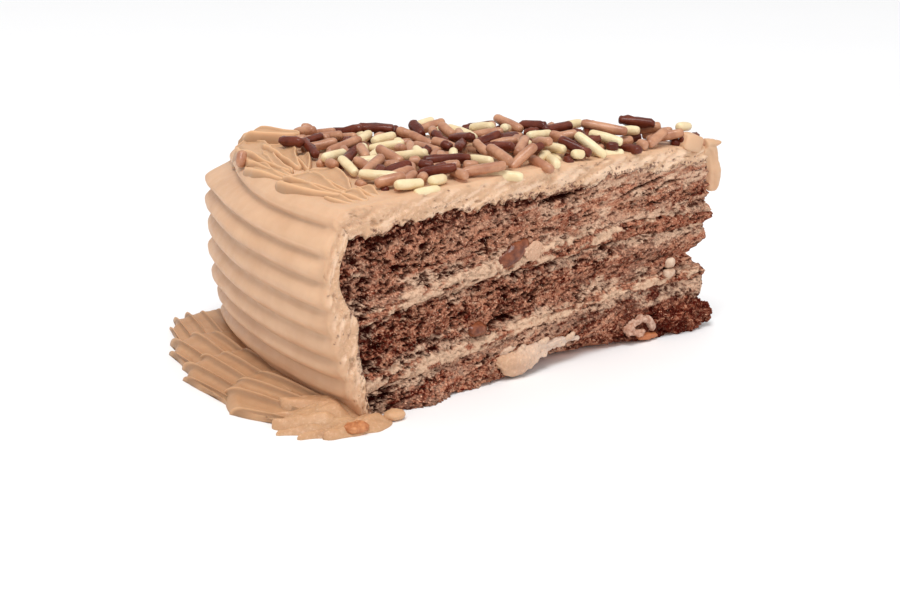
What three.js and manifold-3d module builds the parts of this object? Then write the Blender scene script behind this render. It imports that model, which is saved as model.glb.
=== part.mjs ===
// A slice of layered chocolate cake: a tenth of a round cake, standing on its flat base.
// Three sponge layers with two cream fillings between them sit in one coat of buttercream, whose outer wall
// is combed into level ridges. A piped shell border runs round the top rim and a flatter one round the foot,
// and chocolate sprinkles cover the top.
//
// Units are millimetres. +Z is up and z = 0 is the plane that the slice rests on. +X runs from the outer wall
// to the tip along the slice's middle. The origin lies on the base, CENTRE_TO_TIP from the tip.
// Most sizes are in cake coordinates: r is the distance from the cake's axis, which is the slice's tip,
// phi is the angle from the middle, positive towards the near cut (-Y), and z is the height.

import * as THREE from "three";
import { mergeVertices } from "three/addons/utils/BufferGeometryUtils.js";
import Module from "manifold-3d";

const wasm = await Module();
wasm.setup();

// ---------------------------------------------------------------- driving dimensions

const CENTRE_TO_TIP = 75;
const HALF_ANGLE = THREE.MathUtils.degToRad(18);
const GAP = 0.3; // clear space between touching pieces

// Heights of the surfaces between the layers, at equal steps of r from the tip to PROFILE_REACH.
const PROFILE_REACH = 120;
const HEIGHTS = {
  base: [0, 0, 0, 0, 0],
  bottomTop: [14.2, 14.6, 12.2, 8.2, 5.8],
  middleBottom: [16.4, 16.6, 14.6, 11.6, 10.8],
  middleTop: [28.2, 28.8, 27.4, 25.8, 22.8],
  topBottom: [31.2, 33.2, 32.4, 29.4, 24.8],
  topTop: [44.8, 45.6, 44.8, 45.2, 43.4],
  icing: [49.4, 50.8, 51.4, 51.2, 50.6],
};

// Where each of those surfaces starts at the tip and ends under the wall's buttercream.
const TIP_R = { base: 2.2, bottomTop: 3.4, middleBottom: 3, middleTop: 2.2, topBottom: 3, topTop: 2.4 };
const END_R = {
  base: 115,
  bottomTop: 115.6,
  middleBottom: 116.6,
  middleTop: 117.6,
  topBottom: 119,
  topTop: 121.2,
};

// The sponge layers and fillings, from the bottom up. bulge moves the outer end out, and bite the tip in,
// halfway up. depth is the relief of the torn crumb on the cuts, and rows its facets up the cut.
const LAYERS = {
  sponge_bottom: { low: "base", high: "bottomTop", bite: 1.2, rows: 4, depth: 0.9 },
  filling_lower: { low: "bottomTop", high: "middleBottom", rows: 1, depth: 0.5 },
  sponge_middle: { low: "middleBottom", high: "middleTop", bulge: 1, bite: 6, rows: 4, depth: 0.9 },
  filling_upper: { low: "middleTop", high: "topBottom", rows: 2, depth: 0.5 },
  sponge_top: { low: "topBottom", high: "topTop", bulge: 4, bite: 0.5, rows: 5, depth: 0.9 },
};

// Forms of the near cut's foot: a spread foot, a proud lump and a lifted edge. Each moves the cut by out at
// radius r, fading within reach, at full strength below z = full and gone above z = gone.
const FOOT_FORMS = [
  { out: 2.8, r: 98, reach: 11, full: 0, gone: 7 },
  { out: 1.8, r: 10, reach: 12, full: 5, gone: 9 },
  { out: -7, r: 52, reach: 27, full: -1, gone: 4.8 },
];
const TIP_CHUNK = { r: 7.4, phi: 11, z: 3.4, size: [9.6, 3.4, 4] };

// The buttercream wall: its grooves lie on a bowed line, and the ridges stand out from it.
const WALL = {
  radius: 127.3,
  widestAt: 36,
  bowNear: 0.0085,
  bowFar: 0.004,
  extraFar: 1.4,
  ridge: 2.1,
  pitch: 6.2,
  firstGroove: 9.2,
  ridges: 7,
  rim: 49,
  rollFrom: 40,
  rollNear: 1.6,
  rollFar: 6.5,
};

// The flap that hangs over the tip, as a side outline in r and z.
const TIP_FLAP = {
  width: 5,
  outline: [
    [8, 45.7], [8, 49.2], [3, 50], [0.2, 49.2], [-0.6, 43.5], [-2.4, 40], [-2.2, 36.2], [1, 36.8], [1.5, 45],
  ],
};

// Piped shells, each from its head to its tail in degrees of phi, between two radii. lean is how many degrees
// later the outer side starts, close is the tail's share of the head's width, and tailRadius is the tail's
// middle.
const TOP_SHELLS = [
  { head: -20, tail: 4.5, inner: 102, outer: 123, lean: 3, close: 0.15, tailRadius: 115, high: 5.2 },
  { head: 0.5, tail: 18.6, inner: 106, outer: 126.6, lean: 4, close: 0.15, tailRadius: 115, high: 4.6 },
  { head: 13, tail: 30, inner: 101, outer: 122, lean: 2, close: 0.4, tailRadius: 112, high: 4.2 },
];
const FOOT_SHELLS = [
  { head: -27.5, tail: -7, inner: 116, outer: 139.5, lean: 2.5, close: 0.8, tailRadius: 129, high: 5.4 },
  { head: -14, tail: 1, inner: 116, outer: 140, lean: 5, close: 0.8, tailRadius: 128, high: 5.8 },
  { head: -7, tail: 9, inner: 115, outer: 140.5, lean: 6.5, close: 0.8, tailRadius: 125, high: 5.8 },
  { head: 1.5, tail: 17.5, inner: 113, outer: 139, lean: 6.5, close: 0.7, tailRadius: 122, high: 5.4 },
];
const SHELL_RIDGES = 6;
const FOOT_SMEAR = { r: 126.4, phi: 17.4, size: [10.5, 6.4, 5.2] };

// Sprinkles: their sizes, the pitch of the lattice that they are scattered from and the radii between which
// they lie. secondLayer is the share of places with another one on top.
const SPRINKLE = {
  radius: 1.4,
  shortest: 3.6,
  longest: 9.5,
  pitch: 6.7,
  inner: 7,
  outer: 100,
  secondLayer: 0.35,
};

// Steps of the facets.
const R_STEPS = 22;
const PHI_STEPS = 12;
const STEPS_PER_RIDGE = 4;
const TOP_STEP = 10.5;

// ---------------------------------------------------------------- small helpers

const { lerp, clamp, degToRad, smoothstep } = THREE.MathUtils;

const place = (r, phi, z) =>
  new THREE.Vector3(CENTRE_TO_TIP - r * Math.cos(phi), -r * Math.sin(phi), z);

// A smooth curve through the heights of one surface.
function height(surface, r) {
  const values = HEIGHTS[surface];
  const at = clamp(r / PROFILE_REACH, 0, 1) * (values.length - 1);
  const i = Math.min(Math.floor(at), values.length - 2);
  return lerp(values[i], values[i + 1], smoothstep(at - i, 0, 1) * 0.5 + (at - i) * 0.5);
}

// A repeatable draw from 0 to 1 for a cell of an integer lattice.
function draw(i, j, seed) {
  let h = (i * 374761393 + j * 668265263 + seed * 1442695041) | 0;
  h = Math.imul(h ^ (h >>> 13), 1274126177);
  return ((h ^ (h >>> 16)) >>> 0) / 4294967296;
}

// Smooth noise from -1 to 1 over the plane.
function noise(x, y, seed) {
  const i = Math.floor(x);
  const j = Math.floor(y);
  const u = smoothstep(x - i, 0, 1);
  const v = smoothstep(y - j, 0, 1);
  const low = lerp(draw(i, j, seed), draw(i + 1, j, seed), u);
  const high = lerp(draw(i, j + 1, seed), draw(i + 1, j + 1, seed), u);
  return 2 * lerp(low, high, v) - 1;
}

// 1 at the middle, falling smoothly to 0 at halfWidth away.
const hump = (x, middle, halfWidth) => 1 - smoothstep(Math.abs(x - middle), 0, halfWidth);

// ---------------------------------------------------------------- solids from rings and sections

function geometryOf(points, triangles) {
  let volume = 0;
  for (const [a, b, c] of triangles) {
    volume += points[a].dot(new THREE.Vector3().crossVectors(points[b], points[c]));
  }
  const facing = volume < 0 ? triangles.map(([a, b, c]) => [a, c, b]) : triangles;
  const geometry = new THREE.BufferGeometry().setFromPoints(points);
  geometry.setIndex(facing.flat());
  return geometry;
}

// Joins rings of equal length into one closed solid. capTriangles closes an end; without it a fan does, with
// its hub that far beyond the ring.
function loft(rings, capTriangles, beyond = 0) {
  const n = rings[0].length;
  const points = rings.flat();
  const triangles = [];
  for (let i = 0; i + 1 < rings.length; i++) {
    for (let j = 0; j < n; j++) {
      const k = (j + 1) % n;
      triangles.push([i * n + j, i * n + n + j, i * n + n + k], [i * n + j, i * n + n + k, i * n + k]);
    }
  }
  for (const [start, flip] of [[0, true], [points.length - n, false]]) {
    const cap = capTriangles ?? fan(points, start, n, flip ? -beyond : beyond);
    for (const [a, b, c] of cap) {
      const face = [a, b, c].map((q) => (q < n ? q + start : q));
      triangles.push(flip ? face : [face[0], face[2], face[1]]);
    }
  }
  return geometryOf(points, triangles);
}

// Adds the middle of a ring to points, moved along X, and returns the triangles that join it to the ring.
function fan(points, start, n, moved) {
  const middle = new THREE.Vector3(moved, 0, 0);
  for (let j = 0; j < n; j++) middle.addScaledVector(points[start + j], 1 / n);
  points.push(middle);
  const hub = points.length - 1;
  return Array.from({ length: n }, (_, j) => [j, (j + 1) % n, hub]);
}

function solidOf(geometry) {
  const bare = geometry.clone();
  bare.deleteAttribute("normal");
  bare.deleteAttribute("uv");
  const merged = mergeVertices(bare, 1e-4);
  return new wasm.Manifold(
    new wasm.Mesh({
      numProp: 3,
      vertProperties: merged.attributes.position.array,
      triVerts: new Uint32Array(merged.index.array),
    }),
  );
}

// The largest body of a solid: loose scraps and sealed hollows go.
function oneBody(solid) {
  return solid.decompose().reduce((a, b) => (b.volume() > a.volume() ? b : a));
}

function geometryFrom(solid) {
  const mesh = oneBody(solid).getMesh();
  const geometry = new THREE.BufferGeometry();
  geometry.setAttribute("position", new THREE.BufferAttribute(mesh.vertProperties, 3));
  geometry.setIndex(new THREE.BufferAttribute(mesh.triVerts, 1));
  return geometry;
}

// A round lump of the given half sizes along, across and up, turned to lie along the radius at phi.
function lump(size, phi) {
  const geometry = new THREE.IcosahedronGeometry(1, 1);
  geometry.scale(...size);
  return geometry.rotateZ(phi);
}

const joined = (solids) => solids.reduce((a, b) => a.add(b));

const underFloor = solidOf(new THREE.BoxGeometry(400, 400, 40).translate(0, 0, -20));

// ---------------------------------------------------------------- sponge layers and fillings

// How far the crumb on a cut stands out (+) or is torn away (-), for a layer's relief at r and z.
function crumb(r, z, side, depth) {
  const torn = depth * (0.65 * noise(r / 5.2, z / 3.4, side) + 0.35 * noise(r / 2.6, z / 2.1, side + 7));
  if (side > 1) return torn;
  const footForm = ({ out, r: middle, reach, full, gone }) =>
    out * hump(r, middle, reach) * (1 - smoothstep(z, full, gone));
  return FOOT_FORMS.reduce((moved, form) => moved + footForm(form), torn);
}

// One layer between two of the HEIGHTS surfaces.
function layer({ low, high, bulge = 0, bite = 0, rows, depth }) {
  const rings = [];
  const across = 4;
  for (let i = 0; i <= R_STEPS; i++) {
    const u = i / R_STEPS;
    const ring = [];
    const add = (v, phi, side) => {
      const arch = 4 * v * (1 - v);
      const tip = lerp(TIP_R[low], TIP_R[high], v) + bite * arch;
      const end = lerp(END_R[low], END_R[high], v) + bulge * arch;
      const r = lerp(tip, end, u);
      const bottom = height(low, r) + (low === "base" ? 0 : GAP / 2);
      const z = lerp(bottom, height(high, r) - GAP / 2, v);
      const out = side ? clamp(crumb(r, z, side, depth), -0.3 * r, 0.3 * r) : 0;
      ring.push(place(r, phi + (Math.sign(phi) * out) / r, z));
    };
    for (let k = 0; k <= rows; k++) add(k / rows, HALF_ANGLE, 1);
    for (let k = 1; k < across; k++) add(1, lerp(HALF_ANGLE, -HALF_ANGLE, k / across), 0);
    for (let k = rows; k >= 0; k--) add(k / rows, -HALF_ANGLE, 2);
    for (let k = 1; k < across; k++) add(0, lerp(-HALF_ANGLE, HALF_ANGLE, k / across), 0);
    rings.push(ring);
  }
  return loft(rings);
}

// ---------------------------------------------------------------- buttercream coat

// The radius of the wall's grooves at height z, at share t of the way from the far cut to the near one.
function grooveRadius(z, t) {
  const bow = lerp(WALL.bowFar, WALL.bowNear, t) * (z - WALL.widestAt) ** 2;
  const roll = lerp(WALL.rollFar, WALL.rollNear, smoothstep(t, 0, 0.7));
  return WALL.radius + WALL.extraFar * (1 - t) - bow - roll * smoothstep(z, WALL.rollFrom, WALL.rim);
}

// The wall's radius with its ridges: rounded lobes with narrow grooves between them.
function wallRadius(z, t) {
  const turn = (z - WALL.firstGroove) / WALL.pitch;
  const inRange = turn > -1 && turn < WALL.ridges - 0.5;
  const lobe = inRange ? Math.abs(Math.sin(Math.PI * turn)) ** 0.8 : 0.4;
  return grooveRadius(z, t) + WALL.ridge * lobe;
}

// The coat's outer side as [r, z] pairs from the foot of the wall to the tip, moved out by grow.
function outerPath(t, grow) {
  const path = [[wallRadius(0, t) + grow, 0]];
  for (let z = WALL.firstGroove - WALL.pitch; z < WALL.rim; z += WALL.pitch / STEPS_PER_RIDGE) {
    path.push([wallRadius(z, t) + grow, z]);
  }
  const rim = wallRadius(WALL.rim, t) + grow;
  const top = height("icing", 120) + grow;
  path.push([rim, WALL.rim], [rim - 0.8, lerp(WALL.rim, top, 0.7)], [rim - 2.6, top]);
  for (let r = 113; r > TIP_R.topTop; r -= TOP_STEP) path.push([r, height("icing", r) + grow]);
  return path;
}

// The coat's inner side, from the tip over the sponge and down its outer end.
function innerPath() {
  const path = [];
  for (let i = 0; i <= R_STEPS; i++) {
    const r = lerp(TIP_R.topTop, END_R.topTop, i / R_STEPS);
    path.push([r, height("topTop", r) + GAP / 2]);
  }
  for (const name of Object.keys(LAYERS).reverse()) {
    const { low, high, bulge = 0, rows } = LAYERS[name];
    for (let k = rows; k >= 0; k--) {
      const v = k / rows;
      const end = lerp(END_R[low], END_R[high], v) + bulge * 4 * v * (1 - v) + GAP + 0.1;
      const z = lerp(height(low, end), height(high, end), v);
      const [lastR, lastZ] = path.at(-1);
      if (lastZ - z > 0.6 || end - lastR > 0.6) path.push([end, z]);
    }
  }
  path.at(-1)[1] = 0;
  return path;
}

function coat() {
  const inner = innerPath();
  const sections = [];
  for (let i = 0; i <= PHI_STEPS; i++) {
    const t = i / PHI_STEPS;
    const phi = lerp(-HALF_ANGLE, HALF_ANGLE, t);
    const outer = outerPath(t, 0);
    outer.push([TIP_R.topTop, height("icing", TIP_R.topTop)]);
    sections.push([...outer, ...inner].map(([r, z]) => ({ r, z, phi })));
  }
  const flat = sections[PHI_STEPS].map(({ r, z }) => new THREE.Vector2(r, z));
  const cap = THREE.ShapeUtils.triangulateShape(flat, []);
  return loft(sections.map((s) => s.map(({ r, z, phi }) => place(r, phi, z))), cap);
}

// The coat grown by the gap and filled, to cut what lies on or against it.
function coatKeepOut() {
  const wide = 1.6;
  const innermost = 30;
  const path = (share) => {
    const outer = outerPath(share, GAP).filter(([r]) => r > innermost);
    outer[0][1] = -5;
    return [...outer, [innermost, height("icing", innermost) + GAP], [innermost, -5]];
  };
  const sections = [];
  for (let i = 0; i <= PHI_STEPS * wide; i++) {
    const share = i / PHI_STEPS - (wide - 1) / 2;
    const phi = lerp(-HALF_ANGLE, HALF_ANGLE, share);
    sections.push(path(clamp(share, 0, 1)).map(([r, z]) => place(r, phi, z)));
  }
  const flat = path(0.5).map(([r, z]) => new THREE.Vector2(r, z));
  return solidOf(loft(sections, THREE.ShapeUtils.triangulateShape(flat, [])));
}

// The flap of buttercream that hangs from the top over the tip.
function tipFlap() {
  const { width, outline } = TIP_FLAP;
  const shape = new THREE.Shape(outline.map(([r, z]) => new THREE.Vector2(CENTRE_TO_TIP - r, z)));
  const flap = new THREE.ExtrudeGeometry(shape, { depth: width, bevelEnabled: false });
  return solidOf(flap.rotateX(Math.PI / 2).translate(0, width / 2, 0));
}

// ---------------------------------------------------------------- piped shells

// One piped shell on the height floor: a flattened star section that rises behind its toothed head, runs
// along the cake's round and closes towards its tail.
function shell({ head, tail, inner, outer, lean, close, tailRadius, high }, floor) {
  const rings = [];
  const stations = 9;
  const toothAngle = 1.3;
  const sections = SHELL_RIDGES * 2;
  for (let i = 0; i <= stations; i++) {
    const t = (i / stations) ** 1.3;
    const rise = Math.sqrt(smoothstep(t, -0.04, 0.3)) * lerp(1, 0.7, t);
    const wide = lerp(0.72, 1, smoothstep(t, 0, 0.22)) * lerp(1, close, smoothstep(t, 0.3, 1.05));
    const middle = lerp((inner + outer) / 2, tailRadius, smoothstep(t, 0.1, 1));
    const ring = [];
    for (let k = 0; k <= sections; k++) {
      const s = k / sections;
      const isCrest = k % 2 === 1;
      const r = middle + (s - 0.5) * (outer - inner) * wide;
      const tooth = i === 0 && isCrest ? toothAngle : 0;
      const phi = degToRad(lerp(head, tail, t) + lean * s * (1 - t) - tooth);
      const dome = Math.sin(Math.PI * s) ** 0.6 * (isCrest ? 1 : 0.8);
      ring.push(place(r, phi, floor + high * rise * dome));
    }
    rings.push(ring);
  }
  return solidOf(loft(rings));
}

// The shells round the top rim, cut through where the slice was cut.
function topBorder(keepOut) {
  const floor = height("icing", (TOP_SHELLS[0].inner + TOP_SHELLS[0].outer) / 2);
  const shells = TOP_SHELLS.map((spec, i) => shell(spec, floor - 0.8 - 0.13 * i));
  return joined(shells).subtract(keepOut).intersect(wedge(60, 140, 30, 80));
}

// The shells round the foot and the smear that ends them at the near cut.
function footBorder(keepOut) {
  const shells = FOOT_SHELLS.map((spec, i) => shell(spec, -0.6 - 0.13 * i));
  const smear = lump(FOOT_SMEAR.size, degToRad(FOOT_SMEAR.phi));
  const at = place(FOOT_SMEAR.r, degToRad(FOOT_SMEAR.phi), 0.4);
  shells.push(solidOf(smear.translate(at.x, at.y, at.z)));
  return joined(shells).subtract(keepOut).subtract(underFloor);
}

// The slice's wedge between two radii and two heights.
function wedge(innerR, outerR, low, high) {
  const rings = [];
  for (let i = 0; i <= PHI_STEPS; i++) {
    const phi = lerp(-HALF_ANGLE, HALF_ANGLE, i / PHI_STEPS);
    const corners = [[innerR, low], [outerR, low], [outerR, high], [innerR, high]];
    rings.push(corners.map(([r, z]) => place(r, phi, z)));
  }
  return solidOf(loft(rings, [[0, 1, 2], [0, 2, 3]]));
}

// ---------------------------------------------------------------- sprinkles

// A short rod with blunt ends, five-sided.
function rod(length, radius) {
  const sides = 5;
  const barrel = length - 1.1 * radius;
  const ring = (at) =>
    Array.from({ length: sides }, (_, k) => {
      const turn = (2 * Math.PI * k) / sides;
      return new THREE.Vector3(at, radius * Math.cos(turn), radius * Math.sin(turn));
    });
  return loft([ring(-barrel / 2), ring(barrel / 2)], undefined, (length - barrel) / 2);
}

// The sprinkles on the top: a jittered lattice sunk a little into the buttercream, and a thinner layer on it.
function sprinkles() {
  const s = SPRINKLE;
  const made = [];
  for (const layer of [0, 1]) {
    for (let i = 0, r = s.inner; r <= s.outer; i++, r += s.pitch) {
      const span = 2 * HALF_ANGLE * r - 2;
      const gaps = Math.max(1, Math.round(span / s.pitch));
      for (let j = 0; j <= gaps; j++) {
        const random = (seed) => draw(i, j, 20 * layer + seed);
        if (layer === 1 && random(8) > s.secondLayer) continue;
        const at = r + 2 * (random(2) - 0.5);
        const across = clamp(j / gaps - 0.5 + (0.6 * (random(1) - 0.5)) / gaps, -0.5, 0.5) * span;
        const piece = rod(lerp(s.shortest, s.longest, random(3)), s.radius * lerp(0.9, 1.1, random(4)));
        piece.rotateY((random(5) - 0.5) * 0.3);
        piece.rotateZ(Math.PI * random(6));
        const lift = s.radius * (lerp(0.5, 1.2, random(7)) + 1.5 * layer);
        const where = place(at, across / at, height("icing", at) + lift);
        made.push(solidOf(piece.translate(where.x, where.y, where.z)));
      }
    }
  }
  return made;
}

// ---------------------------------------------------------------- pieces in and on the cut

// Small pieces that show on the near cut: where their middle is, half their size along, out of and up the
// cut, and how far the middle stands out of it.
const PIECES = {
  caramel_upper: { r: 70.3, z: 31.7, size: [4.6, 3.2, 3.2], out: -0.8, colour: 0x7a3b22 },
  caramel_lower: { r: 81.8, z: 14.8, size: [3, 2.4, 1.7], out: -0.4, colour: 0x7a3b22 },
  nut_tip_upper: { r: 15, z: 20, size: [2.4, 1.4, 1.3], out: -0.1, colour: 0xdcc0a6 },
  nut_tip_lower: { r: 14.6, z: 16.8, size: [2.6, 1.4, 1.1], out: 0, colour: 0xcfa98c },
  nut_base: { r: 26, z: 5.2, size: [4.6, 2, 2.1], out: 0.7, colour: 0xc9a184 },
  icing_smear: { r: 65.5, z: 5, size: [9.5, 2.4, 3.6], out: 0.6, colour: 0xd0a585 },
  icing_dab: { r: 109.8, z: 0.9, size: [3, 2.6, 1.6], out: 3, colour: 0xd6a67c },
  nut_toasted: { r: 123.6, z: 1.7, size: [3.2, 1.8, 1.8], out: 8.4, colour: 0xb26a3c },
};

function pieceSolid({ r, z, size, out }, grow) {
  const shape = lump(size.map((half) => half + grow), HALF_ANGLE);
  const at = place(r, HALF_ANGLE + out / r, z);
  return solidOf(shape.translate(at.x, at.y, at.z)).subtract(underFloor);
}

// The dark lump of sponge that stands out at the foot of the tip.
function tipChunk() {
  const phi = degToRad(TIP_CHUNK.phi);
  const at = place(TIP_CHUNK.r, phi, TIP_CHUNK.z);
  return solidOf(lump(TIP_CHUNK.size, phi).translate(at.x, at.y, at.z)).subtract(underFloor);
}

// ---------------------------------------------------------------- assembly

const COLOURS = {
  sponge: { color: 0x6f3f2c, roughness: 0.95 },
  filling: { color: 0xb98e72, roughness: 0.8 },
  icing: { color: 0xd6a67c, roughness: 0.6 },
  border: { color: 0xcf9d72, roughness: 0.6 },
};

const slice = new THREE.Group();

function addMesh(name, geometry, material) {
  const mesh = new THREE.Mesh(geometry, new THREE.MeshStandardMaterial({ metalness: 0, ...material }));
  mesh.name = name;
  slice.add(mesh);
}

const pockets = joined(Object.values(PIECES).map((piece) => pieceSolid(piece, GAP + 0.1)));

for (const [name, spec] of Object.entries(LAYERS)) {
  const look = name.startsWith("sponge") ? COLOURS.sponge : COLOURS.filling;
  const bare = solidOf(layer(spec));
  const whole = name === "sponge_bottom" ? bare.add(tipChunk()) : bare;
  addMesh(name, geometryFrom(whole.subtract(pockets)), look);
}

const keepOut = coatKeepOut();
const border = topBorder(keepOut);
const clearSprinkles = sprinkles().filter((piece) => piece.intersect(border).isEmpty());
addMesh("icing", geometryFrom(joined([solidOf(coat()), tipFlap(), ...clearSprinkles])), COLOURS.icing);
addMesh("border_top", geometryFrom(border), COLOURS.border);
addMesh("border_foot", geometryFrom(footBorder(keepOut).subtract(pockets)), COLOURS.border);

for (const [name, piece] of Object.entries(PIECES)) {
  addMesh(name, geometryFrom(pieceSolid(piece, 0)), { color: piece.colour, roughness: 0.5 });
}

export default slice;
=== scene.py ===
"""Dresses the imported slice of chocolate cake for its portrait.

Sizes are in millimetres and become metres where a mesh is made. Most places are in cake coordinates, as in
the part: r is the distance from the slice's tip, phi the angle from its middle, positive towards the near cut
(-Y), and z the height. The frame's origin is on the base, TIP_X from the tip, with +X towards the tip.
"""

import math

import bmesh
import bpy
import numpy as np
from mathutils import Matrix, Vector


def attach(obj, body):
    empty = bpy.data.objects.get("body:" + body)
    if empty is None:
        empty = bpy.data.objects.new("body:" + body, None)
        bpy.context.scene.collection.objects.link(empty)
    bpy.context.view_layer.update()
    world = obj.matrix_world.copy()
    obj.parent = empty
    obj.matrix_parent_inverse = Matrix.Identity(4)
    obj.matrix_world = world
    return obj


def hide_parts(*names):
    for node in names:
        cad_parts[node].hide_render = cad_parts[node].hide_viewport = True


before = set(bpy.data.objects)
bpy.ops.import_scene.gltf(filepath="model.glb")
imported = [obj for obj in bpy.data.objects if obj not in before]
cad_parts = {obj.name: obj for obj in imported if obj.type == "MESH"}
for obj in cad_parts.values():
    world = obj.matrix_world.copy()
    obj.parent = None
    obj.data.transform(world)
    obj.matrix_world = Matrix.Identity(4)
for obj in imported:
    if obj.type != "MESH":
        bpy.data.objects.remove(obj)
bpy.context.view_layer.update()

# ---------------------------------------------------------------- sizes, as in the part

MM = 0.001
TIP_X = 75.0
OUT_OF_REACH = 99.0  # further than any relief, filling or sprinkle reaches
HALF = math.radians(18)
NEAR, FAR = 1, -1

PROFILE_REACH = 120.0
HEIGHTS = {  # of each surface, at even radii from the tip to PROFILE_REACH
    "base": [0, 0, 0, 0, 0],
    "bottomTop": [14.2, 14.6, 12.2, 8.2, 5.8],
    "middleBottom": [16.4, 16.6, 14.6, 11.6, 10.8],
    "middleTop": [28.2, 28.8, 27.4, 25.8, 22.8],
    "topBottom": [31.2, 33.2, 32.4, 29.4, 24.8],
    "topTop": [44.8, 45.6, 44.8, 45.2, 43.4],
    "icing": [49.4, 50.8, 51.4, 51.2, 50.6],
}
# Where each surface starts at the tip and ends under the wall.
TIP_R = dict(base=2.2, bottomTop=3.4, middleBottom=3.0, middleTop=2.2, topBottom=3.0, topTop=2.4)
END_R = dict(base=115, bottomTop=115.6, middleBottom=116.6, middleTop=117.6, topBottom=119, topTop=121.2)

# The wall's grooves: their radius where the wall is widest, how fast it falls off above and below, how far it
# rolls in at the rim, and how much larger it is at the far cut.
WALL_RADIUS = 127.3
WALL_WIDEST = 36.0
WALL_BOW = {NEAR: 0.0085, FAR: 0.004}
WALL_ROLL = {NEAR: 1.6, FAR: 6.5}
WALL_EXTRA_FAR = 1.4
WALL_RIM = 49.0
RIDGE = 2.1  # how far the ridges stand out of the grooves
GROOVES = [4.4, 10.2, 15.2, 21.2, 27.6, 34.1, 40.1, 46.4, 52]  # heights, from just under the lowest ridge

FINE = 0.26  # grid step on the cuts
ACROSS = 12  # grid steps from one cut to the other inside a layer
PLATE_GAP = 0.02  # the lowest height of any point
WELD_GRID = 2000  # steps to the millimetre of the grid that points are welded on

# ---------------------------------------------------------------- numbers and noise


def mix(a, b, t):
    return a + (b - a) * t


def ease(t):
    return t * t * (3 - 2 * t)


def smooth(x, low, high):
    """0 below low, 1 above high, or the other way round if high is lower."""
    return ease(np.clip((x - low) / (high - low), 0, 1))


def draws(i, j, seed):
    """A repeatable number from 0 to 1 for each cell of an integer lattice."""
    with np.errstate(over="ignore"):
        a = np.asarray(i, np.int64).astype(np.uint32) * np.uint32(374761393)
        b = np.asarray(j, np.int64).astype(np.uint32) * np.uint32(668265263)
        h = a + b + np.uint32(seed * 40503 % 4294967296)
        for shift, factor in ((15, 2246822519), (13, 3266489917)):
            h = (h ^ (h >> np.uint32(shift))) * np.uint32(factor)
    return (h ^ (h >> np.uint32(16))) / 4294967296.0


def noise(x, y, seed):
    """Smooth noise from -1 to 1 over the plane."""
    i, j = np.floor(x), np.floor(y)
    u, v = ease(x - i), ease(y - j)
    low = mix(draws(i, j, seed), draws(i + 1, j, seed), u)
    high = mix(draws(i, j + 1, seed), draws(i + 1, j + 1, seed), u)
    return 2 * mix(low, high, v) - 1


def fbm(x, y, seed, octaves=3):
    """Layered noise, roughly from -1 to 1."""
    total, size = 0.0, 1.0
    for k in range(octaves):
        total = total + size * noise(x * 2**k, y * 2**k, seed + 31 * k)
        size *= 0.5
    return total / (2 - 2 * size)


def cells(x, y, seed):
    """Scattered points: the distance to the nearest, how much further the next is, and the nearest's draw."""
    i, j = np.floor(x), np.floor(y)
    nearest = np.full(np.shape(x), 9.0)
    second = nearest.copy()
    own = np.zeros(np.shape(x))
    for a in (i - 1, i, i + 1):
        for b in (j - 1, j, j + 1):
            away = np.hypot(a + draws(a, b, seed) - x, b + draws(a, b, seed + 1) - y)
            closer = away < nearest
            second = np.where(closer, nearest, np.minimum(second, away))
            own = np.where(closer, draws(a, b, seed + 2), own)
            nearest = np.where(closer, away, nearest)
    return nearest, second - nearest, own


# ---------------------------------------------------------------- cake coordinates


def place(r, phi, z):
    """Cake coordinates as points in the row frame, in mm."""
    r, phi, z = np.broadcast_arrays(r, phi, z)
    return np.stack([TIP_X - r * np.cos(phi), -r * np.sin(phi), z], -1)


def outward(side):
    """The normal of the near or the far cut."""
    return np.array([math.sin(HALF), -side * math.cos(HALF), 0.0])


def height(surface, r):
    values = np.array(HEIGHTS[surface], float)
    at = np.clip(np.asarray(r, float) / PROFILE_REACH, 0, 1) * (len(values) - 1)
    i = np.minimum(np.floor(at).astype(int), len(values) - 2)
    t = at - i
    return mix(values[i], values[i + 1], 0.5 * ease(t) + 0.5 * t)


def steps(length, size):
    return max(2, int(round(length / size)) + 1)


# ---------------------------------------------------------------- meshes


def add(name, data):
    """A new object in the scene."""
    made = bpy.data.objects.new(name, data)
    bpy.context.collection.objects.link(made)
    return made


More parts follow.
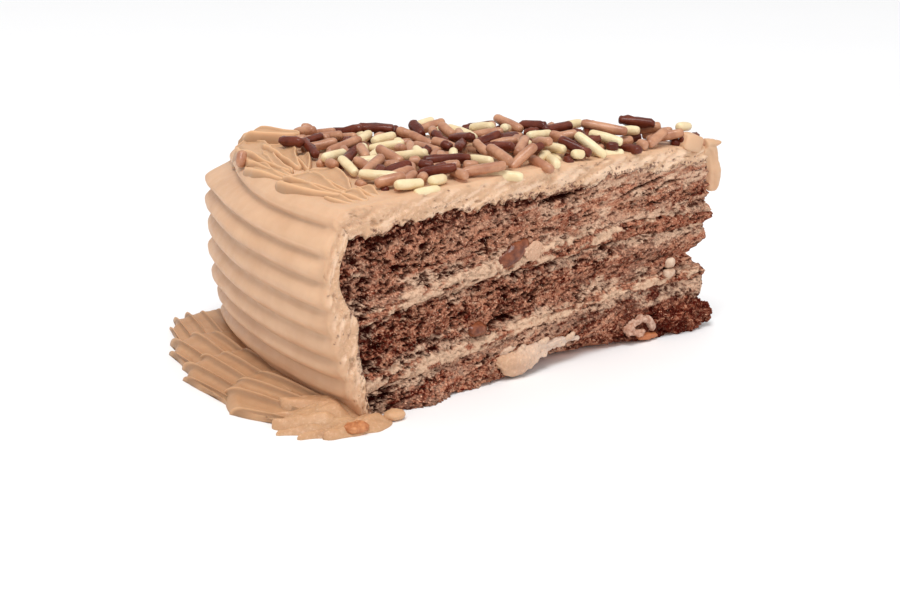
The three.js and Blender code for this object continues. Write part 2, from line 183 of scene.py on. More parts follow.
class Skin:
    """Gathers grids of points, in mm, into one welded mesh, with masks at the points for the material."""

    def __init__(self):
        self.points, self.faces, self.masks, self.count = [], [], [], 0

    def grid(self, points, masks=None, around=False):
        """Adds a grid of points. around also joins its last column to its first."""
        rows, columns = points.shape[:2]
        index = self.count + np.arange(rows * columns).reshape(rows, columns)
        if around:
            index = np.concatenate([index, index[:, :1]], 1)
        quads = np.stack([index[:-1, :-1], index[:-1, 1:], index[1:, 1:], index[1:, :-1]], -1)
        self.points.append(points.reshape(-1, 3))
        self.faces.append(quads.reshape(-1, 4))
        masks = masks or {}
        self.masks.append({k: np.broadcast_to(v, (rows, columns)).ravel() for k, v in masks.items()})
        self.count += rows * columns

    def piece(self, name, material, slot, *nodes):
        """Makes the mesh: points at one place are welded, and the faces are turned to look out."""
        points = np.concatenate(self.points)
        points[:, 2] = np.maximum(points[:, 2], PLATE_GAP)
        key = np.round(points * WELD_GRID).astype(np.int64)
        _, first, welded = np.unique(key, axis=0, return_index=True, return_inverse=True)
        quads = welded.ravel()[np.concatenate(self.faces)]
        repeated = quads == np.roll(quads, -1, 1)
        whole = quads[~repeated.any(1)]
        pinched = repeated.sum(1) == 1
        triangles = quads[pinched][~repeated[pinched]].reshape(-1, 3)
        loops = np.concatenate([whole.ravel(), triangles.ravel()])
        sizes = np.concatenate([np.full(len(whole), 4), np.full(len(triangles), 3)])
        mesh = bpy.data.meshes.new(name)
        mesh.vertices.add(len(first))
        mesh.vertices.foreach_set("co", (points[first] * MM).astype(np.float32).ravel())
        mesh.loops.add(len(loops))
        mesh.loops.foreach_set("vertex_index", loops.astype(np.int32))
        mesh.polygons.add(len(sizes))
        mesh.polygons.foreach_set("loop_start", (np.cumsum(sizes) - sizes).astype(np.int32))
        for mask in sorted({k for masks in self.masks for k in masks}):
            parts = [m.get(mask, np.zeros(len(p))) for m, p in zip(self.masks, self.points)]
            values = np.concatenate(parts)[first].astype(np.float32)
            mesh.attributes.new(mask, "FLOAT", "POINT").data.foreach_set("value", values)
        mesh.validate()
        bm = bmesh.new()
        bm.from_mesh(mesh)
        bmesh.ops.recalc_face_normals(bm, faces=bm.faces)
        for face in bm.faces:
            face.smooth = True
        bm.to_mesh(mesh)
        bm.free()
        made = add(name, mesh)
        mesh.materials.append(material)
        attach(made, "root")
        if nodes:
            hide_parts(*nodes)


# ---------------------------------------------------------------- materials


class Paint:
    """A node material on the principled shader, with short calls for the nodes that the finishes use."""

    def __init__(self, name, roughness, **sockets):
        self.material = bpy.data.materials.new(name)
        self.material.use_nodes = True
        self.tree = self.material.node_tree
        self.shader = self.tree.nodes["Principled BSDF"]
        self.set("Roughness", roughness)
        for socket, value in sockets.items():
            self.set(socket.replace("_", " "), value)
        self.place = self.tree.nodes.new("ShaderNodeTexCoord").outputs["Object"]

    def put(self, target, value):
        """Sets a socket's own value, or links another node's output to it."""
        if isinstance(value, bpy.types.NodeSocket):
            self.tree.links.new(value, target)
        else:
            target.default_value = value

    def set(self, socket, value):
        self.put(self.shader.inputs[socket], value)

    def node(self, kind, values, **settings):
        """A new node, with values by socket name or number. Returns its outputs."""
        node = self.tree.nodes.new("ShaderNode" + kind)
        for name, setting in settings.items():
            setattr(node, name, setting)
        for socket, value in values.items():
            self.put(node.inputs[socket], value)
        return node.outputs

    def mask(self, name):
        return self.node("Attribute", {}, attribute_name=name)["Fac"]

    def speckle(self, size, detail=2.0, roughness=0.6, stretch=None):
        """Noise whose features are about size mm across."""
        where = self.place
        if stretch:
            where = self.node("Mapping", {"Vector": where, "Scale": stretch})[0]
        values = {"Vector": where, "Scale": 1 / (size * MM), "Detail": detail, "Roughness": roughness}
        return self.node("TexNoise", values)[0]

    def span(self, value, low, high, to_low=0.0, to_high=1.0):
        return self.node("MapRange", {0: value, 1: low, 2: high, 3: to_low, 4: to_high})[0]

    def blend(self, share, first, second):
        """A colour between two, each given as linear red, green and blue or as another node's output."""
        first, second = (c if isinstance(c, bpy.types.NodeSocket) else (*c, 1) for c in (first, second))
        return self.node("Mix", {0: share, 6: first, 7: second}, data_type="RGBA")[2]

    def times(self, a, b):
        return self.node("Math", {0: a, 1: b}, operation="MULTIPLY")[0]

    def mottle(self, under, over, size, low, high, most=1, detail=3, roughness=0.6, stretch=None, where=1):
        """Patches of one colour over another, about size mm across, as far as the mask where shows them."""
        share = self.span(self.speckle(size, detail, roughness, stretch), low, high, 0, most)
        if where != 1:
            share = self.times(share, where)
        return self.blend(share, under, over)

    def bump(self, height_map, distance):
        values = {"Height": height_map, "Distance": distance * MM, "Strength": 1.0}
        self.set("Normal", self.node("Bump", values)[0])


def srgb(red, green, blue):
    """A colour given as it looks, 0 to 255, as linear red, green and blue."""
    shares = (red / 255, green / 255, blue / 255)
    return tuple(c / 12.92 if c <= 0.04045 else ((c + 0.055) / 1.055) ** 2.4 for c in shares)


def shade(colour, factor):
    return tuple(factor * c for c in colour)


def cut_paint(name, shadow, crumb, light, cream, roughness):
    """Crumb and cream on the cuts. Masks say where cream lies, how dark the crumb is, and where its hollows
    get painted shade.
    """
    p = Paint(name, roughness, Specular_IOR_Level=0.02)
    tone = p.mask("tone")
    dull = p.mottle(crumb, srgb(124, 56, 36), 9, 0.42, 0.62, stretch=(1, 1, 1.8))
    colour = p.blend(tone, light, dull)
    colour = p.mottle(colour, srgb(124, 52, 34), 13, 0.5, 0.66, 0.5, stretch=(1, 1, 2.2))
    colour = p.mottle(colour, srgb(186, 138, 108), 7, 0.52, 0.7, 0.4, stretch=(1, 1, 2.6))
    colour = p.blend(p.span(tone, 0.5, 1.1), colour, shadow)
    # Light flecks, partly lighter crumbs and partly painted glints, fewer where the crumb is dark.
    pale = p.span(tone, 0.6, 0.95, 1, 0.3)
    colour = p.mottle(colour, srgb(226, 176, 146), 0.4, 0.5, 0.66, 0.6, detail=2, where=pale)
    colour = p.mottle(colour, shadow, 0.42, 0.46, 0.32, 0.85, roughness=0.75)
    patch = p.times(p.mask("cream"), p.span(p.speckle(0.9, 3, 0.7), 0.3, 0.5, 0.3, 1))
    colour = p.blend(patch, colour, cream)
    # Painted shade: hollows, pits, creases and cracks, along with near-black crust grains, take a near-black
    # colour.
    colour = p.blend(p.mask("pore"), colour, shade(shadow, 0.4))
    # Painted glints: sparse specks of brightened cream, fewer where the crumb is dark.
    painted_glints = p.span(tone, 0.6, 0.9, 1, 0.15)
    colour = p.mottle(colour, shade(cream, 1.3), 0.4, 0.66, 0.72, 0.8, detail=1, where=painted_glints)
    p.set("Base Color", colour)
    p.set("Roughness", p.span(p.speckle(0.6), 0.3, 0.7, roughness - 0.18, roughness + 0.15))
    p.bump(p.speckle(0.32, 3, 0.7), 0.15)
    return p.material


def icing_paint(name, light, dark, pale=srgb(240, 206, 176)):
    """Buttercream. Masks say where shade is painted into grooves and hollows, where highlights are painted on
    crests and rims, and where it is streaked with pale, torn and full of crumbs.
    """
    p = Paint(name, 0.5, Specular_IOR_Level=0.35, Subsurface_Weight=0.12, Subsurface_Scale=0.004)
    p.set("Subsurface Radius", (1.0, 0.55, 0.35))
    cream = p.mottle(light, dark, 9, 0.3, 0.7)
    # Painted shade in grooves, hollows and below crests, and painted highlights on crests and rims.
    cream = p.blend(p.mask("fold"), cream, shade(dark, 0.55))
    cream = p.blend(p.times(p.mask("crest"), 0.7), cream, shade(light, 1.3))
    cream = p.blend(p.times(p.mask("streak"), 0.8), cream, pale)
    torn = p.mask("torn")
    # On torn buttercream the pale specks are painted glints; the dark specks are crumbs.
    cream = p.mottle(cream, srgb(244, 206, 174), 0.9, 0.5, 0.66, 0.6, roughness=0.7, where=torn)
    cream = p.mottle(cream, srgb(160, 110, 80), 0.6, 0.36, 0.28, 0.6, detail=2, where=torn)
    cream = p.mottle(cream, srgb(104, 62, 46), 0.7, 0.4, 0.6, detail=2, where=p.mask("crumb"))
    p.set("Base Color", cream)
    p.set("Roughness", p.span(p.speckle(3), 0.3, 0.7, 0.42, 0.6))
    p.bump(p.speckle(0.55, 4, 0.65, (1, 1, 2)), 0.09)
    return p.material


def sprinkle_paint(name, light, dark, roughness, coat, shine=0.35):
    p = Paint(name, roughness, Specular_IOR_Level=shine, Coat_Weight=coat, Coat_Roughness=0.15)
    p.set("Base Color", p.mottle(light, dark, 4, 0.38, 0.62))
    p.bump(p.speckle(0.5, 2), 0.16)
    return p.material


def piece_paint(name, light, dark, roughness, size=1.6):
    p = Paint(name, roughness, Specular_IOR_Level=0.35)
    colour = p.mottle(light, dark, size, 0.35, 0.65)
    p.set("Base Color", p.blend(p.mask("browned"), colour, srgb(184, 112, 72)))
    p.bump(p.speckle(0.5, 3), 0.1)
    return p.material


# ---------------------------------------------------------------- sponge layers and fillings

LAYERS = {
    "sponge_bottom": {"low": "base", "high": "bottomTop", "bulge": 0.0},
    "filling_lower": {"low": "bottomTop", "high": "middleBottom", "bulge": 0.0},
    "sponge_middle": {"low": "middleBottom", "high": "middleTop", "bulge": 1.0},
    "filling_upper": {"low": "middleTop", "high": "topBottom", "bulge": 0.0},
    "sponge_top": {"low": "topBottom", "high": "topTop", "bulge": 4.0},
}

# The tip's edge on its way up: how far from the slice's true point the food starts at each height.
TIP_LEVELS = [0.3, 2.1, 5.7, 7.7, 8.4, 11.1, 14.1, 15.1, 18, 21.6, 22.3, 23.9, 28.5, 30, 32.8, 35, 36.4, 45]
TIP_REACH = [2.0, 1.6, 2.2, 4.4, 1.9, 1.3, 2.8, 0.9, 4.6, 8.2, 5.0, 0.8, 2.4, 0.2, 0.8, 2.6, 1.5, 2.4]
TIP_MIN = 1.6
CUT_SEEDS = {NEAR: 11, FAR: 411}
COAT_TIP = 1.0  # the coat reaches further towards the point than the layers

# Forms of the near cut's foot, as in the part: how far out, where, within what reach and up to what height.
FOOT_FORMS = [(2.8, 98, 11, 0, 7), (1.8, 10, 12, 5, 9), (-3.8, 50, 28, -1, 9)]
FOOT_LIFT = 1.9  # how far the near cut's lower edge is worn off the plate about r = 46


def wobble(surface, r, side):
    """How far a layer's edge on a cut strays from its even height."""
    if surface in ("base", "icing"):
        return np.zeros_like(r)
    seed = 40 + 10 * list(HEIGHTS).index(surface) + side
    size = 2.1 if surface == "topTop" else 1.1
    strays = 0.6 * fbm(r / 6.5, 0 * r, seed) + 0.35 * noise(r / 1.3, 0 * r, seed + 5)
    return size * strays * smooth(r, 0, 8)


def foot_forms(r, z):
    moved = 0.0
    for out, middle, reach, full, gone in FOOT_FORMS:
        moved = moved + out * (1 - smooth(np.abs(r - middle), 0, reach)) * (1 - smooth(z, full, gone))
    return moved


def along(values, r):
    """A quality of the cut given at r = 0, 30, 60, 90 and 120."""
    return np.interp(r, (0, 30, 60, 90, 120), values)


def crumb_grains(r, z, seed):
    """Crumbs of two sizes: their relief, the creases between the larger ones, and two draws for colours."""
    near, gap, own = cells(r / 0.95, z / 0.56, seed + 3)
    small, _, tint = cells(r / 0.5, z / 0.35, seed + 6)
    relief = 0.7 * (own - 0.5) + 0.5 * (0.5 - near) + 0.45 * (tint - 0.5) + 0.35 * (0.5 - small)
    return relief, smooth(gap, 0.18, 0.02) * (tint > 0.3), own, tint


# Cracks in the near cut, each a line of (r, z) with the widest opening in mm.
CRACKS = [
    ([(41.5, 27.6), (37, 29.4), (33, 30.2), (28, 32.6)], 0.9),
    ([(19.5, 17.0), (16.5, 18.2), (13.5, 18.4)], 0.6),
    ([(79.4, 14.6), (76, 16.2), (71.4, 16.2)], 0.9),
    ([(30.5, 17.2), (26, 17.8)], 0.6),
    ([(62, 42.6), (56, 43.4), (50, 43.2)], 0.7),
    ([(34, 40.2), (29, 41.6), (24, 42.4), (19, 43.0)], 0.5),
    ([(21, 40.4), (17, 41.2), (12, 41.4)], 0.4),
    ([(25, 36.2), (22.5, 36.7), (20, 36.3)], 0.5),
]

# Dabs of cream on the crumb of the near cut: r, z and half sizes.
CREAM_DABS = [
    (119.2, 34.8, 2.8, 1.3), (115.9, 20.3, 1.9, 0.9), (99, 30.6, 5.5, 1.5),
    (28, 40.6, 4.5, 1.6), (40, 37.6, 4, 1.2),
]


def cracks(r, z, side):
    """How deep the cracks are at a place of a cut."""
    deep = np.zeros_like(r + z)
    if side == FAR:
        return deep
    for line, wide in CRACKS:
        at_r, at_z = np.array(line[::-1], float).T
        off = np.abs(z - np.interp(r, at_r, at_z) - 0.5 * fbm(r / 1.1, z / 3, 71))
        inside = smooth(r, at_r[0] - 1, at_r[0] + 2) * smooth(r, at_r[-1] + 1, at_r[-1] - 2)
        opening = smooth(off, wide * inside + 0.05, 0.25 * wide * inside) * (inside > 0)
        deep = np.maximum(deep, 2.6 * wide * opening)
    return deep


def small_hollows(r, lean, seed, bare):
    """Hollows a millimetre or so across, the more of them the more open the crumb is."""
    return smooth(fbm(r / 1.3, lean / 0.55, seed + 9), 0.34 - 0.34 * bare, 0.52 - 0.28 * bare)


def crumb_relief(r, z, v, side, spec):
    """The torn crumb on a sponge's cut: how far out each point is, and the masks for its colour."""
    seed = CUT_SEEDS[side]
    lean = z + 0.1 * r
    patchy = fbm(r / 8, lean / 3, seed + 51, 2)
    rough = np.clip(along(spec["rough"], r) + 0.5 * patchy, 0.15, 1.15)
    bare = np.clip(along(spec["open"], r) + 0.35 * patchy, 0.1, 1.2)
    grains, crease, own, tint = crumb_grains(r, lean, seed)
    split = cracks(r, z, side)
    broad = 0.6 * fbm(r / 8, lean / 4, seed, 2) - split
    hollow = small_hollows(r, lean, seed, bare)
    pit = smooth(fbm(r / 4.5, lean / 1.8, seed + 13), 0.44 - 0.14 * bare, 0.66)
    streak = fbm(r / 4.5, lean / 1.0, seed + 17)
    out = broad + mix(0.4, 0.9, rough) * grains - rough * (0.7 * hollow + 0.9 * pit + 0.3 * crease)
    out = out + (1 - rough) * 0.35 * streak + 0.1 * noise(r / 0.4, z / 0.35, seed + 19)
    # Painted shade: the crumb's hollows, pits, creases and cracks take the near-black pore colour.
    pore = np.maximum(mix(0.6, 1, rough) * hollow, rough * np.maximum(pit, 0.7 * crease))
    pore = np.maximum(pore, smooth(split, 0.3, 1.2))

    above, below = (1 - v) * spec["rise"], v * spec["rise"]
    edge = above if spec["cream_above"] else OUT_OF_REACH
    edge = np.minimum(edge, below if spec["cream_below"] else OUT_OF_REACH)
    patch = fbm(r / 5, lean / 2, seed + 21) + 0.25 * (own - 0.5)
    patch = patch + 0.35 * fbm(r / 1.4, lean / 0.9, seed + 41, 2)
    cream = 0.85 * smooth(edge + 5.0 * patch, 2.9, 0.3)
    smear = along(spec["smear"], r) * smooth(streak + 0.7 * patch, -0.1, 0.35)
    dragged = along(spec["dragged"], r) * smooth(above + 7 * (streak * 0.5 + patch), 6.5, 2.5)
    dragged = dragged * smooth(fbm(r / 5, lean / 0.8, seed + 23), -0.3, 0.15)
    if side == NEAR:
        for at_r, at_z, wide, high in CREAM_DABS:
            away = np.hypot((r - at_r) / wide, (z - at_z) / high) + 0.8 * patch
            cream = np.maximum(cream, smooth(away, 1.1, 0.7))
    corner = smooth(spec["end"] - r + 5 * patch, 6, 1.5) * spec["corner"]
    cream = np.maximum(np.maximum(cream, smear), np.maximum(dragged, corner))
    tone = along(spec["tone"], r) + 0.35 * fbm(r / 9, lean / 4, seed + 25)
    tone = tone + 0.8 * (own - 0.5) + 0.9 * (tint - 0.5)
    crust = smooth(above + 2.4 * fbm(r / 3, z / 1.6, seed + 29), 3.6, 0.8) * spec["crust"]
    crust = crust * smooth(r, 30, 60)
    outer = smooth(spec["end"] - r + 4 * fbm(r / 3, z / 3, seed + 31), 9, 1) * 0.45 * (1 - spec["corner"])
    dark = np.maximum(crust, outer)
    # The broken chunk at the tip's foot is painted darker, partly as painted shade, and loses its cream.
    chunk = spec["chunk"] * smooth(r + 2 * patchy, 27, 19) * smooth(z + 0.8 * patchy, 8.2, 5.8)
    cream = cream * (1 - chunk)
    # Crust grains join the same mask as near-black crumb.
    pore = np.clip(pore + 0.75 * dark * (own > 0.35), 0, 1)
    tone = np.clip(tone + 0.5 * dark + 0.5 * chunk, 0, 1.1)
    cream = cream * (1 - 0.8 * pore) * (1 - crust)
    return out - 0.3 * dark * (own > 0.35), {"pore": pore, "cream": cream, "tone": tone}


def cream_relief(r, z, v, side, spec):
    """Cream on a cut: dragged about level with the crumb, broken and full of crumbs."""
    seed = CUT_SEEDS[side]
    lean = z + 0.1 * r
    grains, crease, own, tint = crumb_grains(r, lean, seed)
    patch = fbm(r / 6, lean / 1.8, seed + 21) + 0.35 * (own - 0.5)
    patch = patch + 0.35 * fbm(r / 2, lean / 0.8, seed + 41, 2)
    share = along(spec["shown"], r)
    cream = smooth(patch, 0.3 - 0.7 * share, 0.55 - 0.7 * share)
    edge = np.abs(2 * v - 1)
    drag = fbm(r / 5, lean / 0.9, seed + 43)
    bare = along(spec["open"], r)
    hollow = small_hollows(r, lean, seed, bare)
    hollow = hollow * (1 - 0.7 * cream)
    out = 0.2 - 1.3 * smooth(edge, 0.4, 1) + 0.4 * drag + mix(0.9, 0.4, cream) * grains - 0.7 * hollow
    out = out + 0.35 * cream + 0.1 * noise(r / 0.4, z / 0.35, seed + 19)
    # Painted shade in the filling's hollows and in creases between crumbs.
    pore = np.maximum(hollow, 0.6 * crease * (1 - cream))
    tone = along(spec["tone"], r) + 0.8 * (own - 0.5) + 0.9 * (tint - 0.5)
    return out, {"pore": np.clip(pore, 0, 1), "cream": cream, "tone": np.clip(tone, 0, 1.1)}


def layer(name, relief, spread=0.0, **look):
    """One layer's skin. spread lets its cut faces reach over the neighbours' edges, in mm."""
    low, high, bulge = (LAYERS[name][k] for k in ("low", "high", "bulge"))
    rise = np.mean(HEIGHTS[high]) - np.mean(HEIGHTS[low])
    rows, columns = steps(rise + 2 * spread, FINE), steps(END_R[high] - TIP_R[high], FINE)
    v = np.linspace(0, 1, rows)[:, None]
    u = np.linspace(0, 1, columns)[None, :]
    arch = 4 * v * (1 - v)
    end = mix(END_R[low], END_R[high], v) + bulge * arch
    spec = {"rise": rise, "end": end, **look}
    skin = Skin()
    sides = {}
    for side in (NEAR, FAR):
        level = mix(height(low, 5), height(high, 5), v)
        tear = 0.5 * noise(level / 1.1, 0 * v, 7 + side)
        start = np.interp(level, TIP_LEVELS, TIP_REACH) + tear
        r = mix(start, end, u)
        bottom = height(low, r) + wobble(low, r, side) - spread * (low != "base")
        if low == "base" and side == NEAR:
            worn = smooth(np.abs(r - 46), 26, 6) * (FOOT_LIFT + 0.9 * fbm(r / 3, 0 * r, 61))
            bottom = bottom + np.clip(worn, 0, None) + 1.6 * np.clip(fbm(r / 3.4, 0 * r, 63, 2), 0, 1)
        top = height(high, r) + wobble(high, r, side) + spread
        z = mix(bottom, top, v)
        out, masks = relief(r, z, v, side, spec)
        if side == NEAR:
            out = out + foot_forms(r, z)
        past_tip = np.clip(TIP_MIN - r, 0, 9)
        r = r + past_tip
        out = np.clip(out, -0.28 * r, 0.3 * r + 0.4)
        sides[side] = place(r, side * HALF, z) + out[..., None] * outward(side)
        sides[side][..., 0] += past_tip
        skin.grid(sides[side], masks)
    near, far = sides[NEAR], sides[FAR]
    share = np.linspace(0, 1, ACROSS + 1)[:, None]
    turn = mix(HALF, -HALF, share)
    covers = {}
    for row, surface in ((-1, high), (0, low)):
        r = np.hypot(near[row, :, 0] - TIP_X, near[row, :, 1])[None, :]
        cover = place(r, turn, height(surface, r))
        cover[0], cover[-1] = near[row], far[row]
        if surface == "base":
            cover[1:3, :, 2] += np.array([[1.0], [0.5]]) * near[0, :, 2]
        skin.grid(cover)
        covers[row] = cover
    for column, reach in ((0, None), (-1, end)):
        if reach is None:
            plug = mix(near[:, None, column], far[:, None, column], share.T[..., None])
            broken = fbm(plug[..., 1] / 1.5, plug[..., 2] / 1.5, 5, 2)
            plug[..., 0] += 0.8 * broken * np.sin(math.pi * share.T)
        else:
            plug = place(reach, turn.T, near[:, None, column, 2])
        plug[:, 0], plug[:, -1] = near[:, column], far[:, column]
        plug[-1], plug[0] = covers[-1][:, column], covers[0][:, column]
        skin.grid(plug)
    return skin


# ---------------------------------------------------------------- buttercream coat

WALL_STEP = 0.36  # grid steps up the wall, over the top, and across the band that shows on a cut
TOP_STEP = WALL_STEP
BAND_STEP = 0.34
BAND_WIDE = 7.0
TOP_RUN = 120.0  # about the way over the top, from the rim to the tip

# The icing that hangs over the tip, and the shred that sticks out beside it: x, y and z, and half widths.
FLAP_PATH = [(71.8, -1.1, 48.8), (73.2, -0.8, 47.4), (74.3, -0.5, 44.5), (75.1, -0.2, 41), (75.3, 0, 36.4)]
FLAP_WIDE = [(1.8, 1.7), (2.2, 1.6), (2.1, 1.5), (2.2, 1.3), (1.9, 0.9)]
FLAP_FACES = (0.15, 1, 0)
SHRED_PATH = [(71.4, -1.0, 48.8), (74.6, -0.6, 49.2), (77.0, -0.4, 49.5)]
SHRED_WIDE = [(1.8, 1.6), (1.1, 1.0), (0.2, 0.2)]


def groove_radius(z, t):
    """The radius of the wall's grooves at height z and at share t of the way from far cut to near cut."""
    bow = mix(WALL_BOW[FAR], WALL_BOW[NEAR], t) * (z - WALL_WIDEST) ** 2
    roll = mix(WALL_ROLL[FAR], WALL_ROLL[NEAR], smooth(t, 0, 0.7))
    return WALL_RADIUS + WALL_EXTRA_FAR * (1 - t) - bow - roll * smooth(z, 40, WALL_RIM)


def wall_radius(z, t):
    """The combed wall's radius and masks: ridges with steep undersides, a dragged end at the near cut,
    painted shade at the grooves and painted highlights along the crests.
    """
    arc = WALL_RADIUS * mix(-HALF, HALF, t)
    droop = 1.4 * smooth(t, 0.3, 0.0) + 0.35 * noise(t * 2.4, z / 14, 3)
    turn = np.interp(z + droop, GROOVES, np.arange(len(GROOVES)))
    share = turn - np.floor(turn)
    ridged = smooth(turn, 0.0, 0.3) * smooth(turn, 7.9, 7.6)
    lobe = smooth(share, 0.0, 0.36) ** 0.8 * smooth(share, 1.06, 0.4) ** 0.9
    lobe = lobe * (1 + 0.2 * noise(np.floor(turn) * 3.3, t * 3, 5))
    lobe = mix(0.4, lobe, ridged)
    comb = 0.06 * noise(z / 0.45, arc / 26, 12) + 0.05 * noise(z / 1.0, arc / 11, 13)
    soft = 0.28 * fbm(arc / 15, z / 6, 14)
    smear = smooth(t, 0.955, 0.99)
    drag = 0.3 * fbm(arc / 1.6, z / 3.5, 16) + 0.12 * fbm(arc / 0.8, z / 0.8, 17, 2)
    ridge = RIDGE * mix(1.1, 0.8, smooth(t, 0.1, 0.8)) * lobe * (1 - 0.45 * smear)
    # Painted shade at each groove, above and below it, and a patchy painted highlight along each crest.
    fold = (0.26 * smooth(share, 0.2, 0.04) + 0.2 * smooth(share, 0.76, 1)) * ridged
    crest = 0.4 * smooth(np.abs(share - 0.3), 0.07, 0.01) * ridged
    crest = crest * smooth(fbm(arc / 9, z / 6, 19, 2), -0.3, 0.3)
    masks = {"fold": fold * (1 - smear), "crest": crest * (1 - smear)}
    return groove_radius(z, t) + ridge + comb + mix(soft, drag, smear), masks


def wall_inner(z):
    """The radius at which the layers end under the wall's buttercream."""
    radii, levels = [], []
    for name, spec in LAYERS.items():
        for v in np.linspace(0.02, 0.98, 9):
            end = mix(END_R[spec["low"]], END_R[spec["high"]], v) + spec["bulge"] * 4 * v * (1 - v)
            radii.append(end)
            levels.append(mix(height(spec["low"], end), height(spec["high"], end), v))
    return np.interp(z, levels, radii)


def cut_band(side, edge, inward, rise):
    """The buttercream that shows on a cut, from the coat's outer edge in to the crumb, and its masks.

    inward is 0 on the wall and then the share of the way to the tip, and rise the share of the wall's height.
    """
    outer_r = np.hypot(edge[:, 0] - TIP_X, edge[:, 1])
    on_top = inward > 0
    inner_top = END_R["topTop"]
    inner_z = np.where(on_top, 0, rise * height("topTop", inner_top))
    inner_r = np.where(on_top, mix(inner_top, COAT_TIP, inward), wall_inner(inner_z) - 0.9)
    crumb_top = height("topTop", inner_r) + wobble("topTop", inner_r, side)
    inner_z = np.where(on_top, crumb_top - 0.9, inner_z)
    w = np.linspace(0, 1, steps(BAND_WIDE, BAND_STEP))[None, :]
    br = mix(outer_r[:, None], inner_r[:, None], w)
    bz = mix(edge[:, 2, None], inner_z[:, None], w)
    seed = 300 + 50 * side
    upright = ~on_top[:, None]
    x, y = np.where(upright, bz, br), np.where(upright, br, bz)  # along the band and across it
    drag = 0.5 * fbm(x / 6, (y + 0.3 * x) / 1.1, seed)
    drag = drag + 0.28 * fbm(x / 1.6, (y + 0.2 * x) / 0.5, seed + 5)
    hollow = smooth(fbm(x / 2.6, y / 0.8, seed + 9), 0.4, 0.65)
    grain = 0.2 * fbm(x / 1.1, y / 0.6, seed + 6, 2) + 0.06 * noise(x / 0.5, y / 0.45, seed + 7)
    out = (0.5 + drag + grain - 0.6 * hollow) * smooth(w, 0, 0.15) - 1.4 * smooth(w, 0.82, 1.0)
    out = np.clip(out, -0.28 * br, 0.3 * br)
    near, _, own = cells(x / 1.4, y / 0.9, seed + 11)
    specks = smooth(near, 0.38, 0.2) * (own > np.interp(br, (20, 80), (0.84, 0.94)))
    torn = np.interp(br, (20, 80), (0.62, 0.78))
    crumbs = smooth(w + 0.6 * fbm(x / 2.6, y / 0.8, seed + 13), torn, torn + 0.2)
    face = place(br, side * HALF, bz) + out[..., None] * outward(side)
    face[:, 0] = edge
    streak = fbm(x / 5, (y + 0.3 * x) / 0.9, seed + 17)
    streak = streak + 0.5 * smooth(br, 70, 25) * smooth(w, 0.1, 0.6)
    # Painted shade in the band's hollows; its torn specks include painted glints.
    masks = {
        "fold": 0.4 * hollow,
        "crumb": np.maximum(crumbs, specks),
        "streak": smooth(streak, 0.0, 0.4) * smooth(w, 0, 0.3),
        "torn": smooth(w + 0.3 * drag, 0.0, 0.6),
    }
    return face, masks


def coat(material):
    """The buttercream coat: the combed wall and the top in one sweep, and the band that shows on each cut."""
    wall_rows, top_rows = steps(WALL_RIM, WALL_STEP), steps(TOP_RUN, TOP_STEP)
    t = np.linspace(0, 1, 97)[None, :]
    phi = mix(-HALF, HALF, t)
    z = np.linspace(0, WALL_RIM, wall_rows)[:, None]
    radius, masks = wall_radius(z, t)
    wall = place(radius, phi, z)
    share = np.linspace(0, 1, top_rows)[1:, None]
    shoulder = smooth(share * TOP_RUN, 0, 3.2)
    r = mix(radius[-1:, :], COAT_TIP, share)
    lumps = 0.45 * fbm(r / 9, r * phi / 9, 21) * smooth(share, 0, 0.05)
    level = mix(WALL_RIM, height("icing", r), shoulder**0.6) + lumps
    sweep = np.concatenate([wall, place(r, phi, level)])
    skin = Skin()
    skin.grid(sweep, {name: np.concatenate([mask, np.zeros_like(r)]) for name, mask in masks.items()})

    inward = np.concatenate([np.zeros(wall_rows), share.ravel()])
    rise = np.concatenate([z.ravel() / WALL_RIM, np.ones(top_rows - 1)])
    bands = {}
    for side, column in ((NEAR, -1), (FAR, 0)):
        bands[side], masks = cut_band(side, sweep[:, column], inward, rise)
        skin.grid(bands[side], masks)
    skin.grid(np.stack([bands[NEAR][:, -1], bands[FAR][:, -1]], 1))
    for row in (0, -1):
        rim = np.concatenate([sweep[row], bands[NEAR][row], bands[FAR][row, ::-1]])
        skin.grid(np.stack([rim, rim * 0 + rim.mean(0)]), around=True)
    strand(skin, FLAP_PATH, FLAP_WIDE, 330, FLAP_FACES, rough=0.3, grain=3, streak=0.2)
    strand(skin, SHRED_PATH, SHRED_WIDE, 331)
    lump(skin, on_cut(8.6, 50.4, -0.3), (3.2, 1.6, 2.3), 332, 0.3, 0.32, 0.5, 2.4, 0.06)
    skin.piece("icing_coat", material, "icing", "icing")


# ---------------------------------------------------------------- piped shells

